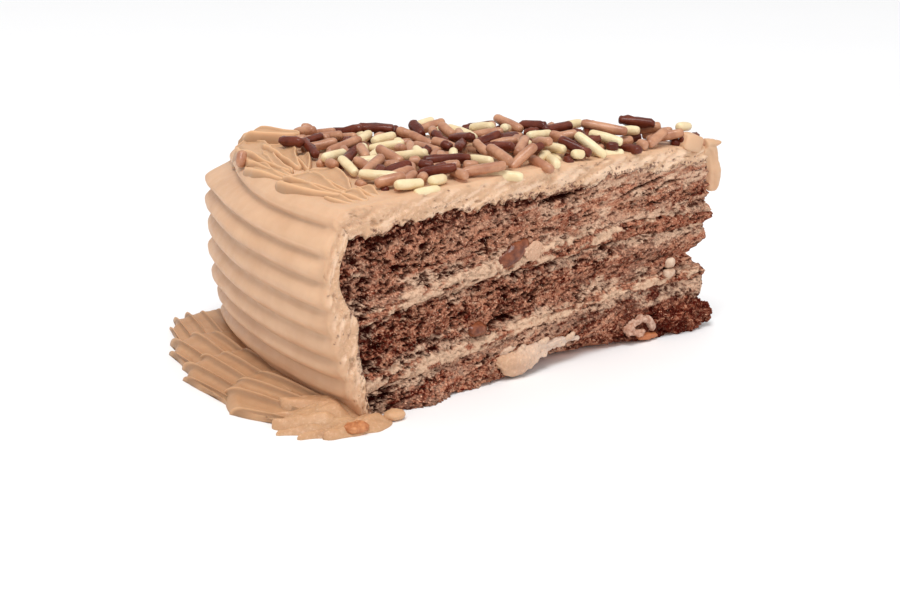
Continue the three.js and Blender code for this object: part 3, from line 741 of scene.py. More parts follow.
# The tongues of the shells on top, which run along the rim: head and tail as (r, phi in degrees), half width,
# height, bend outwards, the hollow between the rims, and the shares of height and width left at the tail.
TOP_PETALS = [
    ((121.4, -17.2), (107.2, -14.0), 3.6, 3.9, 0.6, 0.3, 0.95, 0.7),
    ((120.4, -15.8), (116.6, 1.8), 4.2, 3.1, 0.8, 0.6, 0.55, 0.35),
    ((115.4, -12.4), (113.6, 0.4), 3.9, 3.5, -0.8, 1.1, 0.5, 0.3),
    ((109.6, -8.0), (112.2, 1.4), 2.6, 2.3, -0.6, 0.6, 0.6, 0.4),
    ((121.0, -10.8), (117.4, 3.6), 3.6, 2.4, 1.6, 0.7, 0.55, 0.35),
    ((122.8, -4.8), (119.0, 5.4), 2.9, 2.1, 1.2, 0.6, 0.5, 0.4),
    ((111.8, 1.2), (112.6, 12.8), 4.5, 2.5, -1.4, 0.9, 0.45, 0.3),
    ((118.7, 2.8), (114.6, 13.2), 4.1, 2.8, 0.4, 0.9, 0.45, 0.3),
    ((122.0, 4.6), (116.4, 13.8), 3.1, 2.5, 1.8, 0.8, 0.5, 0.35),
    ((118.8, 12.2), (116.6, 16.8), 2.4, 1.3, 0.6, 0.3, 0.3, 0.6),
    ((114.0, 11.8), (113.4, 16.6), 2.7, 1.7, 0.0, 0.5, 0.3, 0.6),
    ((108.8, 11.2), (109.6, 16.4), 2.4, 1.7, 0.0, 0.5, 0.3, 0.6),
    ((116.6, -15.0), (122.6, -17.3), 1.8, 3.0, 0.0, 0.0, 0.8, 0.12),
]
# Dragged icing at the near end of the foot, in the same terms, with the tails as its torn spikes.
CORNER_PETALS = [
    ((117.0, 16.2), (132.5, 15.2), 7.0, 5.0, 0.0, 0.0, 0.4, 0.95),
    ((112.5, 16.8), (130.0, 11.4), 6.4, 4.6, 0.0, 0.2, 0.8, 0.7),
    ((120.5, 17.6), (136.4, 14.4), 7.4, 3.8, 0.0, 0.1, 0.6, 0.2),
    ((117.5, 18.9), (138.2, 16.2), 5.0, 2.3, 0.4, 0.1, 0.5, 0.1),
    ((121.0, 16.6), (134.4, 13.0), 4.6, 4.0, 0.0, 0.1, 0.5, 0.12),
    ((118.0, 19.8), (136.0, 18.3), 3.6, 1.9, 0.0, 0.1, 0.6, 0.2),
    ((111.6, 19.6), (131.5, 19.9), 4.5, 2.1, 0.0, 0.0, 0.8, 0.4),
]
FOOT_SHELLS = [
    {
        "heads": [
            (138.0, -12), (139.9, -16.8), (139.0, -19.4), (136.4, -20.6),
            (133.4, -21.6), (129.6, -22.8), (124, -24.0), (117, -23.6),
        ],
        "tails": [(139, -6), (116, -6)],
        "high": 3.4, "tooth": 3.2, "hollow": 0.35,
    },
    {
        "heads": [
            (138.4, -3), (140.4, -8.2), (139.2, -11.2), (135.2, -12.8),
            (130.8, -13.4), (124.6, -13.8), (115, -14),
        ],
        "tails": [(138.5, 1), (115.5, 1)],
        "high": 4.0, "tooth": 4.0, "hollow": 0.6,
    },
    {
        "heads": [
            (138.4, 4.5), (140.9, -0.5), (138.9, -3.6), (134.9, -5.1),
            (130.8, -5.4), (125.5, -6.4), (119.5, -6.8), (114, -6.5),
        ],
        "tails": [(138, 9.5), (115, 9.5)],
        "high": 4.4, "tooth": 2.8, "hollow": 0.75,
    },
    {
        "heads": [
            (133, 14.5), (139.4, 9.4), (136.3, 4.8), (132.4, 3.1),
            (127.2, 2.0), (121, 1.6), (113.5, 2),
        ],
        "tails": [(131, 17.6), (114.5, 15.5)],
        "high": 4.3, "tooth": 1.4, "hollow": 0.75,
    },
]


def flat(places):
    """Places given as (r, phi in degrees) as points of the plan."""
    r, phi = np.array(places, float).T
    return place(r, np.radians(phi), 0.0)


def line_through(points, at):
    """A smooth line through points, at given places counted in points, or at so many even places."""
    last = len(points) - 1
    at = np.linspace(0, last, at) if isinstance(at, int) else at
    i = np.minimum(at.astype(int), last - 1)
    t = (at - i)[:, None]
    before, after = points[np.maximum(i - 1, 0)], points[np.minimum(i + 2, last)]
    a, b = points[i], points[i + 1]
    lean_a, lean_b = (b - before) / 2, (after - a) / 2
    ends = (2 * t**3 - 3 * t**2 + 1) * a + (3 * t**2 - 2 * t**3) * b
    return ends + (t**3 - 2 * t**2 + t) * lean_a + (t**3 - t**2) * lean_b


def normals(points):
    n = np.cross(np.gradient(points, axis=0), np.gradient(points, axis=1))
    return n / np.maximum(np.linalg.norm(n, axis=-1, keepdims=True), 1e-9)


def capped(ring, first, last):
    """The rings of a tube with a point at each end, which closes it."""
    return np.concatenate([ring[:1] * 0 + first, ring, ring[-1:] * 0 + last])


def between_cuts(points, slack=0.15):
    """Points beyond either cut are brought back to it."""
    for side in (NEAR, FAR):
        normal = outward(side)
        beyond = (points[..., 0] - TIP_X) * normal[0] + points[..., 1] * normal[1] - slack
        points = points - np.clip(beyond, 0, None)[..., None] * normal
    return points


def piped(skin, spec, seed, rows=58, per_ridge=24):
    """One piped shell: thin ridges with hollow bands between them, from a lively head down to the tail."""
    heads = flat(spec["heads"])
    gaps = len(heads) - 1
    columns = gaps * per_ridge + 1
    ridge = np.linspace(0, gaps, columns)
    ridge = ridge - 0.09 * np.sin(2 * math.pi * ridge)  # more columns near the crests
    head = line_through(heads, ridge)
    tail = line_through(flat(spec["tails"]), ridge / gaps)
    edge = np.abs(2 * (ridge - np.floor(ridge)) - 1)  # 1 on a ridge, 0 in the middle of a band
    inside = smooth(np.minimum(ridge, gaps - ridge), 0.0, 0.5)
    lip = edge**14 * inside
    away = head - tail
    away = away / np.linalg.norm(away, axis=1, keepdims=True)
    reach = spec["tooth"] * edge**6
    reach = reach * (1 + 0.35 * noise(ridge + 0.5, 0 * ridge, seed))
    reach = reach * smooth(ridge, 0.7 * gaps, 0.35 * gaps)
    head = head + reach[:, None] * away * inside[:, None]

    t = (np.linspace(0, 1, rows) ** 1.5)[:, None]
    plan = mix(head[None], tail[None], t[..., None])
    rise = np.sqrt(1 - (1 - np.clip(t / 0.16, 0, 1)) ** 2) * mix(1, 0.7, smooth(t, 0.25, 1))
    s = np.linspace(0, 1, columns)[None, :]
    across = 0.14 * smooth(s, 0, 0.02) + 0.86 * smooth(s, -0.14, 0.58)
    points = plan.copy()
    points[..., 2] = PLATE_GAP + spec["high"] * rise * across
    depth = 0.6 * lip[None, :] - spec["hollow"] * (1 - edge[None, :] ** 2)
    streaks = 0.1 * noise(s * columns / 2.6, t * 3, seed + 2)
    streaks = streaks + 0.2 * fbm(s * gaps * 1.9, t * 3, seed + 3)
    out = (depth * smooth(t, 0.02, 0.24) * mix(1, 0.75, t) + streaks) * np.minimum(1, 2 * across)
    up = normals(points)
    points = points + out[..., None] * up * np.sign(up[..., 2:3] + 0.01)
    under = plan[:, ::-6].copy()
    under[..., 2] = PLATE_GAP
    ring = np.concatenate([points, under], 1)
    closed = capped(ring, ring[0].mean(0), ring[-1].mean(0))
    # Painted shade just below each crest, and painted highlights along the crests.
    fold, crest = np.zeros(closed.shape[:2]), np.zeros(closed.shape[:2])
    share = ridge - np.floor(ridge)
    fold[:, :columns] = 0.55 * smooth(share, 0.6, 0.88) * smooth(share, 0.985, 0.93)
    crest[:, :columns] = inside * smooth(np.minimum(share, 1.06 - share), 0.11, 0.03)
    skin.grid(closed, {"fold": fold, "crest": crest}, around=True)


def icing_floor(plan):
    """The coat's surface under a place, over the top and round the shoulder onto the wall, sunk a little."""
    r = np.hypot(plan[..., 0] - TIP_X, plan[..., 1])
    t = np.clip((np.arctan2(-plan[..., 1], TIP_X - plan[..., 0]) + HALF) / (2 * HALF), 0, 1)
    rim = groove_radius(WALL_RIM, t) + 2.0
    roll = groove_radius(40.0, t) - groove_radius(WALL_RIM, t)
    over = np.clip((r - rim) / roll, 0, 1)
    down = 9 * (0.5 - np.sin(np.arcsin(1 - 2 * over) / 3))
    return mix(WALL_RIM, height("icing", r), smooth(rim - r, 0, 3.2) ** 0.6) - down - 0.8


def petal(skin, spec, seed, on_top, rows=58, columns=57):
    """One tongue of icing: a hollow between two thin rims, from a round head to a narrow tail."""
    head, tail, wide, high, bend, hollow, tail_high, narrow = spec
    t = (np.linspace(0, 1, rows) ** 1.4)[:, None]
    u = np.sin(np.linspace(-1, 1, columns) * math.pi / 2)[None, :]
    r = mix(head[0], tail[0], t) + bend * np.sin(math.pi * t)
    phi = np.radians(mix(head[1], tail[1], t))
    middle = place(r, phi, 0.0)
    ahead = np.gradient(middle[:, 0], axis=0)
    ahead = ahead / np.linalg.norm(ahead, axis=1, keepdims=True)
    beside = np.stack([-ahead[:, 1], ahead[:, 0], 0 * ahead[:, 0]], -1)[:, None]
    length = np.linalg.norm(middle[-1, 0] - middle[0, 0])
    half = wide * np.sqrt(1 - (1 - np.clip(t * length / (1.6 * wide), 0, 1)) ** 2)
    half = half * mix(1, narrow, smooth(t, 0.3, 1))
    half = half * np.sqrt(1 - 0.98 * np.clip((t - 1) * length / (1.2 * wide * narrow) + 1, 0, 1) ** 2)
    ragged = 1 + 0.1 * noise(t * length / 2.5, np.sign(u), seed)
    plan = middle + (half * u * ragged)[..., None] * beside
    from_edge = half * (1 - np.abs(u))
    level = high * mix(0.45 if on_top else 0.75, 1, smooth(t, 0, 0.3))
    level = level * mix(1, tail_high, smooth(t, 0.35, 1))
    rise = np.sqrt(1 - (1 - np.clip(from_edge / (0.9 if on_top else 0.6), 0, 1)) ** 2)
    if not on_top:
        rise = rise * mix(0.3, 1, smooth(1 - np.abs(u), 0, 0.8) * smooth(t * length, 0, 0.8 * wide))
    lip = 0.4 * on_top * np.exp(-(((from_edge - 0.7) / 0.3) ** 2))
    dip = hollow * smooth(from_edge, 0.7, 0.8 * wide) * smooth(t, 0.02, 0.12) * smooth(t, 1, 0.7)
    drag = 0.1 * noise(u * half / 0.6, t * 3, seed + 3)
    drag = drag + 0.25 * fbm(u * half / 2.6, t * length / 7, seed + 5, 2)
    if not on_top:
        drag = 1.5 * drag + 0.45 * fbm(u * half / 1.5, t * length / 5, seed + 7, 4)
        drag = drag + 0.16 * fbm(u * half / 0.8, t * length / 1.3, seed + 8, 2)
    points = plan.copy()
    floor = icing_floor(plan) if on_top else np.full(plan.shape[:-1], PLATE_GAP)
    points[..., 2] = floor + (level + lip - dip + drag) * rise
    under = plan[:, ::-4].copy()
    under[..., 2] = floor[:, ::-4] - 0.3 * on_top * smooth(half, 0, 1)
    ring = np.concatenate([points, under], 1)
    ring = between_cuts(ring) if on_top else ring
    closed = capped(ring, ring[0].mean(0), ring[-1].mean(0))
    fold, crest, torn = (np.zeros(closed.shape[:2]) for _ in range(3))
    # On top: painted shade along the tongue's edges and inside its rims, and painted highlights on the rims.
    if on_top:
        fold[1:-1, :columns] = 0.5 * smooth(from_edge, 0.5, 0.1)
        fold[1:-1, :columns] += 0.35 * smooth(from_edge, 0.9, 1.3) * smooth(from_edge, 2.2, 1.3)
        crest[1:-1, :columns] = smooth(np.abs(from_edge - 0.7), 0.35, 0.05)
    else:
        # On the plate: painted highlights on the raised drag, and torn specks with painted glints.
        crest[1:-1, :columns] = 0.25 + 0.6 * drag
        torn[1:-1, :columns] = 0.4
    skin.grid(closed, {"fold": fold, "crest": np.clip(crest, 0, 1), "torn": torn}, around=True)


def borders(top_material, foot_material):
    """The piped borders. Returns the points of the one on top, for what lies against it."""
    top = Skin()
    for k, spec in enumerate(TOP_PETALS):
        petal(top, spec, 500 + 9 * k, True)
    top.piece("piped_border_top", top_material, "icing", "border_top")
    foot = Skin()
    for k, spec in enumerate(FOOT_SHELLS):
        piped(foot, spec, 540 + 9 * k)
    for k, spec in enumerate(CORNER_PETALS):
        petal(foot, spec, 580 + 9 * k, False)
    foot.piece("piped_border_foot", foot_material, "icing", "border_foot")
    return np.concatenate(top.points)


# ---------------------------------------------------------------- sprinkles

SPRINKLE_RADIUS = 1.27
KINDS = {"dark": 0.27, "milk": 0.52, "cream": 0.21}
SINK = 0.8  # how deep a sprinkle presses into the icing
PRESS = 0.55  # how much sprinkles press into each other
PILE_HIGH = 3.9  # how far above the icing a sprinkle's middle may lie towards the tip
PILE_LOW = 2.7  # and towards the wall
LONG, SHORT = (6.5, 10.5), (2.9, 4.5)  # lengths of whole sprinkles and of broken ones
LONG_SHARE = 0.74
FILLED = 1.0  # share of the lattice's places that get a sprinkle
TRIES = 20  # places tried for each
FIRST_R, LAST_R = 2.5, 107.5  # radii of the lattice
EDGE_FAR, EDGE_NEAR = 109.5, 106.5  # how far out a sprinkle may reach, at the far cut and at the near one

# The sprinkles that catch the eye: r, then phi, tilt and turn in degrees, the middle's height and the length.
SHOWN = {
    "cream": [
        (67, -13, -4, -69, 53.6, 9), (49, -3, -3, 15, 54.2, 8), (42, 13, -30, -50, 53.6, 9.5),
        (35, 9, -9, -47, 54.2, 9), (26, -3, 6, -46, 54.2, 8.5), (9, -5, -8, 30, 54, 6),
        (51, 9, 3, -71, 53.8, 8), (56, 16, -3, -99, 52, 6.5), (75, 12, 6, -70, 53.6, 8),
        (101, 16.3, -5, 16, 52.6, 8), (93, 16.6, -6, 33, 52.6, 6), (74, 17.3, -1, -36, 51.2, 10),
        (104, -1, 0, 28, 53.2, 8), (88, -8, 2, 26, 54, 8), (103, 11, 0, -36, 53, 9.5),
    ],
    "milk": [
        (54, -16, -14, -60, 54.8, 9), (32, -1, -7, -38, 55.4, 12), (20, 13, 16, 30, 53, 8.5),
        (79, 16.4, 8, -9, 53.2, 11), (65, 14.6, 34, 11, 53.8, 9), (61, 16.6, -12, -71, 51.9, 8),
        (124.9, -5.0, 55, 60, 51.9, 4.2),
    ],
    "dark": [
        (47, 13, -20, -44, 53.8, 9), (21, -12, -3, -37, 55.4, 9.5), (25, -12, 2, -35, 53.2, 10),
        (82, 9, 2, -11, 53.8, 11.6), (88, -16.4, 2, -35, 53.8, 10), (48, -14, 6, -54, 54.6, 8),
        (30, 15, 5, -68, 52, 7), (111.4, -7.6, 4, -55, 54.4, 7),
    ],
}


def rod(length, radius, bend, seed, wrinkle, sides=12, rows=15):
    """A sprinkle along X: a rod with round ends, a little bent and uneven."""
    a = np.linspace(0, math.pi, rows)[:, None]
    around = np.linspace(0, 2 * math.pi, sides, endpoint=False)[None, :]
    barrel = max(length / 2 - radius, 0.0)
    x = -radius * np.cos(a) - barrel * np.tanh(3.2 * np.cos(a)) / math.tanh(3.2)
    wide = radius * np.sin(a) ** 0.62
    uneven = 1 + wrinkle * noise(x / 0.9 + 3 * (seed % 97), around * 1.9, seed) * np.sin(a)
    y = wide * uneven * np.cos(around) + bend * (x / length) ** 2 * 4
    z = wide * uneven * np.sin(around)
    return np.stack(np.broadcast_arrays(x, y, z), -1)


class Pile:
    """The heap on the icing as a map of heights, so that every sprinkle lies on what is under it."""

    CELL = 0.45
    CORNER = (-62.0, -50.0)
    REACH = (142, 100)
    SLOPES = (-0.22, -0.11, 0.0, 0.11, 0.22)

    def __init__(self):
        self.x0, self.y0 = self.CORNER
        size = [int(reach / self.CELL) for reach in self.REACH]
        x = self.x0 + self.CELL * np.arange(size[0])[:, None]
        y = self.y0 + self.CELL * np.arange(size[1])[None, :]
        away = np.hypot(TIP_X - x, y)
        self.top = height("icing", away) - SINK
        self.limit = self.top + SINK + mix(PILE_HIGH, PILE_LOW, smooth(away, 68, 92))
        self.roof = np.full(size, OUT_OF_REACH)
        self.kept = np.zeros(size, bool)
        self.shy = 1.0  # the largest share of a sprinkle that may lie over a shown one

    def stand(self, points):
        """Takes in what already stands on the icing."""
        i = ((points[:, 0] - self.x0) / self.CELL).astype(int)
        j = ((points[:, 1] - self.y0) / self.CELL).astype(int)
        np.maximum.at(self.top, (i, j), points[:, 2] - 0.3)

    def footprint(self, x, y, turn, length, radius):
        """The map's cells under a rod, how far along it each lies, and the rod's half height there."""
        at, off = np.meshgrid(np.linspace(-0.47, 0.47, 17) * length, np.linspace(-0.9, 0.9, 7) * radius)
        px = x + at * math.cos(turn) - off * math.sin(turn)
        py = y + at * math.sin(turn) + off * math.cos(turn)
        i = np.clip(((px - self.x0) / self.CELL).astype(int), 0, self.top.shape[0] - 1)
        j = np.clip(((py - self.y0) / self.CELL).astype(int), 0, self.top.shape[1] - 1)
        return (i, j), at, np.sqrt(radius**2 - off**2)

    def rest(self, x, y, turn, length, radius):
        """The lowest height and slope at which the rod lies free, or None where a shown one is in the way."""
        cells_under, at, half = self.footprint(x, y, turn, length, radius)
        under = self.top[cells_under]
        levels = [(under - slope * at + half).max() for slope in self.SLOPES]
        best = int(np.argmin(levels))
        level, slope = levels[best] - PRESS, self.SLOPES[best]
        blocked = (level + slope * at + half > self.roof[cells_under] + PRESS).any()
        if blocked or self.kept[cells_under].mean() > self.shy or level > self.limit[cells_under].mean():
            return None
        return level, slope

    def add(self, x, y, turn, length, radius, level, slope):
        cells_under, at, half = self.footprint(x, y, turn, length, radius)
        np.maximum.at(self.top, cells_under, level + slope * at + half)

    def reserve(self, x, y, turn, length, radius, level, slope):
        cells_under, at, half = self.footprint(x, y, turn, length, radius)
        np.minimum.at(self.roof, cells_under, level + slope * at - half)
        self.kept[cells_under] = True


def lay_sprinkle(skins, kind, x, y, turn, length, radius, level, slope, seed):
    wrinkle = {"dark": 0.26, "milk": 0.1, "cream": 0.06}[kind]
    shape = rod(length, radius, 0.6 * (draws(seed, 1, 77) - 0.5), seed, wrinkle)
    spin = Matrix.Rotation(turn, 3, "Z") @ Matrix.Rotation(-math.atan(slope), 3, "Y")
    skins[kind].grid(shape @ np.array(spin).T + np.array([x, y, level]), around=True)


def scatter(skins, pile, rng, pitch):
    """Lays sprinkles over the whole top on a loose lattice, each in the lowest of a few places tried."""
    names, odds = list(KINDS), list(KINDS.values())
    r = FIRST_R
    while r < LAST_R:
        span = max(2 * HALF * r - 0.4, 1.0)
        count = max(1, int(round(span / pitch)))
        for k in range(count):
            if rng.random() > FILLED:
                continue
            kind = rng.choice(names, p=odds)
            length = rng.uniform(*(LONG if rng.random() < LONG_SHARE else SHORT))
            radius = SPRINKLE_RADIUS * rng.uniform(0.88, 1.06)
            best = None
            for _ in range(TRIES):
                across = ((k + rng.uniform(0, 1)) / count - 0.5) * span
                at = r + rng.uniform(-0.5, 0.5) * pitch
                turn = rng.uniform(0, math.pi)
                x, y, _ = place(at, across / at, 0.0)
                half = (length - radius) / 2
                end_x = x + np.array([-half, half]) * math.cos(turn)
                end_y = y + np.array([-half, half]) * math.sin(turn)
                end_r, end_phi = np.hypot(TIP_X - end_x, end_y), np.arctan2(-end_y, TIP_X - end_x)
                margin = end_r * np.sin(HALF - np.abs(end_phi))
                over_cut = (margin < np.where(end_phi > 0.0, 0.2, -0.2)).any()
                if over_cut or end_r.max() > mix(EDGE_FAR, EDGE_NEAR, across / span + 0.5):
                    continue
                laid = pile.rest(x, y, turn, length, radius)
                if laid and (best is None or laid[0] < best[5]):
                    best = (x, y, turn, length, radius, *laid)
            if best:
                pile.add(*best)
                lay_sprinkle(skins, kind, *best, int(rng.integers(1e6)))
        r += pitch


def sprinkles(paints, against):
    """Every sprinkle, laid one by one. against holds points of what stands on the icing."""
    rng = np.random.default_rng(5)
    skins = {kind: Skin() for kind in KINDS}
    pile = Pile()
    pile.stand(against)
    shown = []
    for kind, entries in SHOWN.items():
        for r, phi, tilt, turn, level, length in entries:
            x, y, _ = place(r, math.radians(phi), 0.0)
            slope = math.tan(math.radians(tilt))
            shown.append((kind, (x, y, math.radians(turn), length, SPRINKLE_RADIUS, level, slope)))
            pile.reserve(*shown[-1][1])
    scatter(skins, pile, rng, 3.7)
    for seed, (kind, laid) in enumerate(shown):
        x, y, turn, length, radius, level, slope = laid
        under, at, half = pile.footprint(x, y, turn, length, radius)
        level = min(level, (pile.top[under] - slope * at + half).max() - 0.4 * PRESS)
        pile.add(x, y, turn, length, radius, level, slope)
        lay_sprinkle(skins, kind, x, y, turn, length, radius, level, slope, seed)
    pile.shy = 0.1
    scatter(skins, pile, rng, 3.6)
    for kind, skin in skins.items():
        skin.piece("sprinkles_" + kind, paints[kind], "icing")


# ---------------------------------------------------------------- lumps in and on the cut

# The broken crumb at the tip's foot: r, z and how far out of the near cut each part lies, and half sizes.
TIP_CHUNK = [
    (1.2, 3.8, 0.2, (2.8, 1.8, 2.9)), (4.6, 4.4, 0.4, (3.0, 2.6, 3.2)), (8.6, 4.6, 0.4, (3.2, 2.6, 3.0)),
    (12.8, 4.8, 0.3, (3.2, 2.3, 2.6)), (17.0, 5.2, 0.1, (3.4, 2.0, 2.3)), (6.2, 2.0, 0.9, (2.6, 1.6, 1.4)),
]

# The chopped nut at the foot of the near cut, a broken ring: r, z, half sizes and turn of each part.
NUT_RING = [
    (21.4, 4.9, 2.1, 1.1, 0.9), (23.8, 6.2, 2.2, 0.9, 0.35), (27.0, 6.0, 2.3, 0.9, -0.3),
    (29.2, 4.6, 1.5, 1.3, 1.2), (26.4, 3.1, 2.5, 0.8, 0.2),
]

# The buttercream smear at the foot of the near cut: r, z and how far out its middle runs, and half widths.
SMEAR_PATH = [
    (75.5, 5.6, -0.4), (72.6, 4.6, 0.2), (68.6, 3.9, 0.6), (64.0, 4.6, 0.3),
    (58.5, 5.6, 0.0), (52.5, 5.9, -0.3), (46.0, 5.5, -0.8),
]
SMEAR_WIDE = [(1.0, 0.9), (2.6, 1.4), (3.3, 1.6), (2.6, 1.2), (1.7, 0.9), (1.2, 0.7), (0.4, 0.4)]
SMEAR_ROWS = 110
STRAND_SIDES = 40

# Torn bits along the smear's upper edge: r, z and half length.
SMEAR_TEARS = [(71.4, 7.6, 3.0), (66.8, 7.2, 1.8), (59.8, 7.3, 2.8), (50.4, 6.9, 2.4)]

# The cream dragged over the upper filling beside the large caramel piece: its middle, and its half widths.
CREAM_PATH = [(69.4, 32.8, 0.9), (66.4, 31.6, 0.9), (63.4, 31.4, 0.3), (60, 31.8, -0.4)]
CREAM_WIDE = [(0.7, 0.4), (1.9, 0.7), (2.2, 0.7), (0.8, 0.4)]

# The pieces of one lump each: paint, slot and node, then r, z and how far out of the near cut the lump lies,
# its half sizes, its seed, and its turn, squareness, roughness, grain and fine relief.
LUMPS = {
    "caramel_large": ("caramel", "caramel", "caramel_upper",
        (70.3, 31.7, -0.5), (5.2, 1.9, 2.5), 601, -0.42, 0.95, 0.6, 3.0, 0.12),
    "caramel_small": ("caramel", "caramel", "caramel_lower",
        (81.8, 14.8, -0.8), (3.0, 2.4, 1.6), 602, 0.1, 0.85, 0.6, 2.2, 0.12),
    "nut_bead_upper": ("bead", "nut", "nut_tip_upper",
        (14.8, 19.7, 0.1), (1.8, 1.2, 1.3), 622, 0.1, 0.9, 0.3, 1.4, 0.12),
    "nut_bead_lower": ("bead", "nut", "nut_tip_lower",
        (14.8, 16.9, 0.1), (2.1, 1.2, 1.2), 619, 0.1, 0.9, 0.3, 1.4, 0.12),
    "nut_browned": ("toasted", "nut", "nut_toasted",
        (123.3, 1.4, 5.6), (2.9, 2.3, 1.15), 608, 0.05, 0.8, 0.7, 1.7, 0.2),
    "buttercream_dab": ("dab", "icing", "icing_dab",
        (110.8, 1.15, 4.2), (2.8, 2.3, 1.25), 611, 0.0, 0.95, 0.35, 2.2, 0.12),
}


def uneven(points, size, seed):
    """Noise over a surface in space, with features of about the given size."""
    x, y, z = np.moveaxis(points, -1, 0) / size
    total = fbm(x + 0.4 * z, y - 0.5 * z, seed) + fbm(y + 0.3 * x, z, seed + 7)
    return (total + fbm(z, x - 0.2 * y, seed + 13)) / 1.7


def cut_axes(turn=0.0):
    """Rows: along the near cut away from the tip, out of it, and up, all turned within the cut's plane."""
    along_cut = np.array([-math.cos(HALF), -math.sin(HALF), 0.0])
    up = np.array([0.0, 0.0, 1.0])
    turned = math.cos(turn) * along_cut + math.sin(turn) * up
    return np.array([turned, outward(NEAR), math.cos(turn) * up - math.sin(turn) * along_cut])


def on_cut(r, z, out=0.0):
    return place(r, HALF, z) + out * outward(NEAR)


def lump(skin, centre, size, seed, turn, square, rough, grain, fine, masks=None, detail=24):
    """A lump with three half sizes along the cut's axes, squarer as square falls, with relief in mm.

    masks are given as for a grid, or as a function of the lump's points.
    """
    a = np.linspace(0, math.pi, detail)[:, None]
    b = np.linspace(0, 2 * math.pi, 2 * detail, endpoint=False)[None, :]
    ball = np.stack(np.broadcast_arrays(np.sin(a) * np.cos(b), np.sin(a) * np.sin(b), np.cos(a)), -1)
    shape = np.sign(ball) * np.abs(ball) ** square * np.array(size)
    relief = rough * uneven(shape, grain, seed) + fine * uneven(shape, 0.6, seed + 3)
    shape = shape + relief[..., None] * ball
    masks = masks(shape) if callable(masks) else masks
    skin.grid(shape @ cut_axes(turn) + np.array(centre), masks, around=True)


def strand(skin, path, sizes, seed, out=None, rough=0.4, grain=2.0, streak=0.0, masks=None, rows=60):
    """A smear along a path of points, with half widths along and across the face it lies on."""
    out = outward(NEAR) if out is None else np.array(out, float)
    centre = line_through(np.array(path, float), rows)
    size = np.maximum(line_through(np.array(sizes, float), rows), 0.02)
    t = np.linspace(0, 1, rows)
    size = size * np.sqrt(np.clip(1 - np.abs(2 * t - 1) ** 8, 0.01, 1))[:, None]
    ahead = np.gradient(centre, axis=0)
    beside = np.cross(ahead, out)
    beside = beside / np.linalg.norm(beside, axis=1, keepdims=True)
    a = np.linspace(0, 2 * math.pi, STRAND_SIDES, endpoint=False)
    spoke = np.cos(a)[None, :, None] * beside[:, None] * size[:, None, :1]
    spoke = spoke + np.sin(a)[None, :, None] * out * size[:, None, 1:]
    points = centre[:, None] + spoke
    relief = rough * uneven(points, grain, seed) + 0.12 * uneven(points, 0.7, seed + 5)
    lines = noise(a[None, :] * 3.2, t[:, None] * 4, seed + 9)
    relief = relief + streak * lines * np.minimum(1, size[:, :1])
    reach = np.linalg.norm(spoke, axis=-1, keepdims=True)
    points = points + relief[..., None] * spoke / np.maximum(reach, 0.3)
    skin.grid(capped(points, centre[0], centre[-1]), masks, around=True)


def dark_crumb(points):
    """The broken crumb's mottled colour, dark all over, partly as painted shade, with painted shade in the
    creases.
    """
    x, y, z = np.moveaxis(points, -1, 0)
    _, gap, own = cells((x + 0.5 * y) / 1.1, (z - 0.3 * y) / 0.75, 627)
    broad = fbm(x / 2.4, z / 1.4, 628)
    tone = np.clip(0.95 + 0.7 * (own - 0.5) - 0.5 * broad, 0, 1.1)
    return {"tone": tone, "pore": 0.7 * smooth(gap, 0.2, 0.03)}


def tip_chunk(skin):
    """The dark broken crumb that sticks out at the tip's foot."""
    for k, (r, z, out, size) in enumerate(TIP_CHUNK):
        lump(skin, on_cut(r, z, out), size, 620 + k, 0.1, 0.9, 1.7, 1.9, 0.9, dark_crumb, 42)


def small_pieces(paints):
    """The pieces that show in the cut and around it."""
    for name, (paint, slot, node, at, *form) in LUMPS.items():
        skin = Skin()
        lump(skin, on_cut(*at), *form)
        skin.piece(name, paints[paint], slot, node)

    nut = Skin()
    for k, (r, z, wide, high, turn) in enumerate(NUT_RING):
        browned = {"browned": 0.05 + 0.08 * k}
        lump(nut, on_cut(r, z, 0.55), (wide, 0.9, high), 606 + k, turn, 0.55, 0.7, 1.3, 0.3, browned)
    lump(nut, on_cut(22.2, 1.3, 0.4), (3.4, 1.1, 0.8), 615, 0.05, 0.8, 0.5, 1.6, 0.2, {"browned": 1.0})
    nut.piece("nut_chopped", paints["nut"], "nut", "nut_base")

    smear = Skin()
    paler = np.clip(np.linspace(-0.3, 1.6, SMEAR_ROWS + 2), 0, 1)[:, None]
    # The torn specks on the smear include painted glints.
    masks = {"streak": paler, "torn": 0.5 + 0.5 * paler}
    path = [on_cut(*at) for at in SMEAR_PATH]
    strand(smear, path, SMEAR_WIDE, 609, rough=1.0, grain=1.5, streak=0.35, masks=masks, rows=SMEAR_ROWS)
    for k, (r, z, half) in enumerate(SMEAR_TEARS):
        flap = [on_cut(r + half, z - 0.9, -0.2), on_cut(r, z, 0.35), on_cut(r - half, z + 0.2, -0.3)]
        masks = {"streak": 0.5, "torn": 0.8}
        wide = [(0.3, 0.3), (0.85, 0.6), (0.15, 0.2)]
        strand(smear, flap, wide, 660 + k, rough=0.45, grain=1.0, masks=masks, rows=30)
    smear.piece("buttercream_smear", paints["smear"], "icing", "icing_smear")


# ---------------------------------------------------------------- assembly

icing = icing_paint("buttercream", srgb(219, 178, 143), srgb(207, 164, 129))
border = icing_paint("piped_buttercream", srgb(209, 165, 126), srgb(196, 151, 113))
smeared = icing_paint("smeared_buttercream", srgb(214, 172, 138), srgb(198, 156, 124), srgb(214, 190, 174))
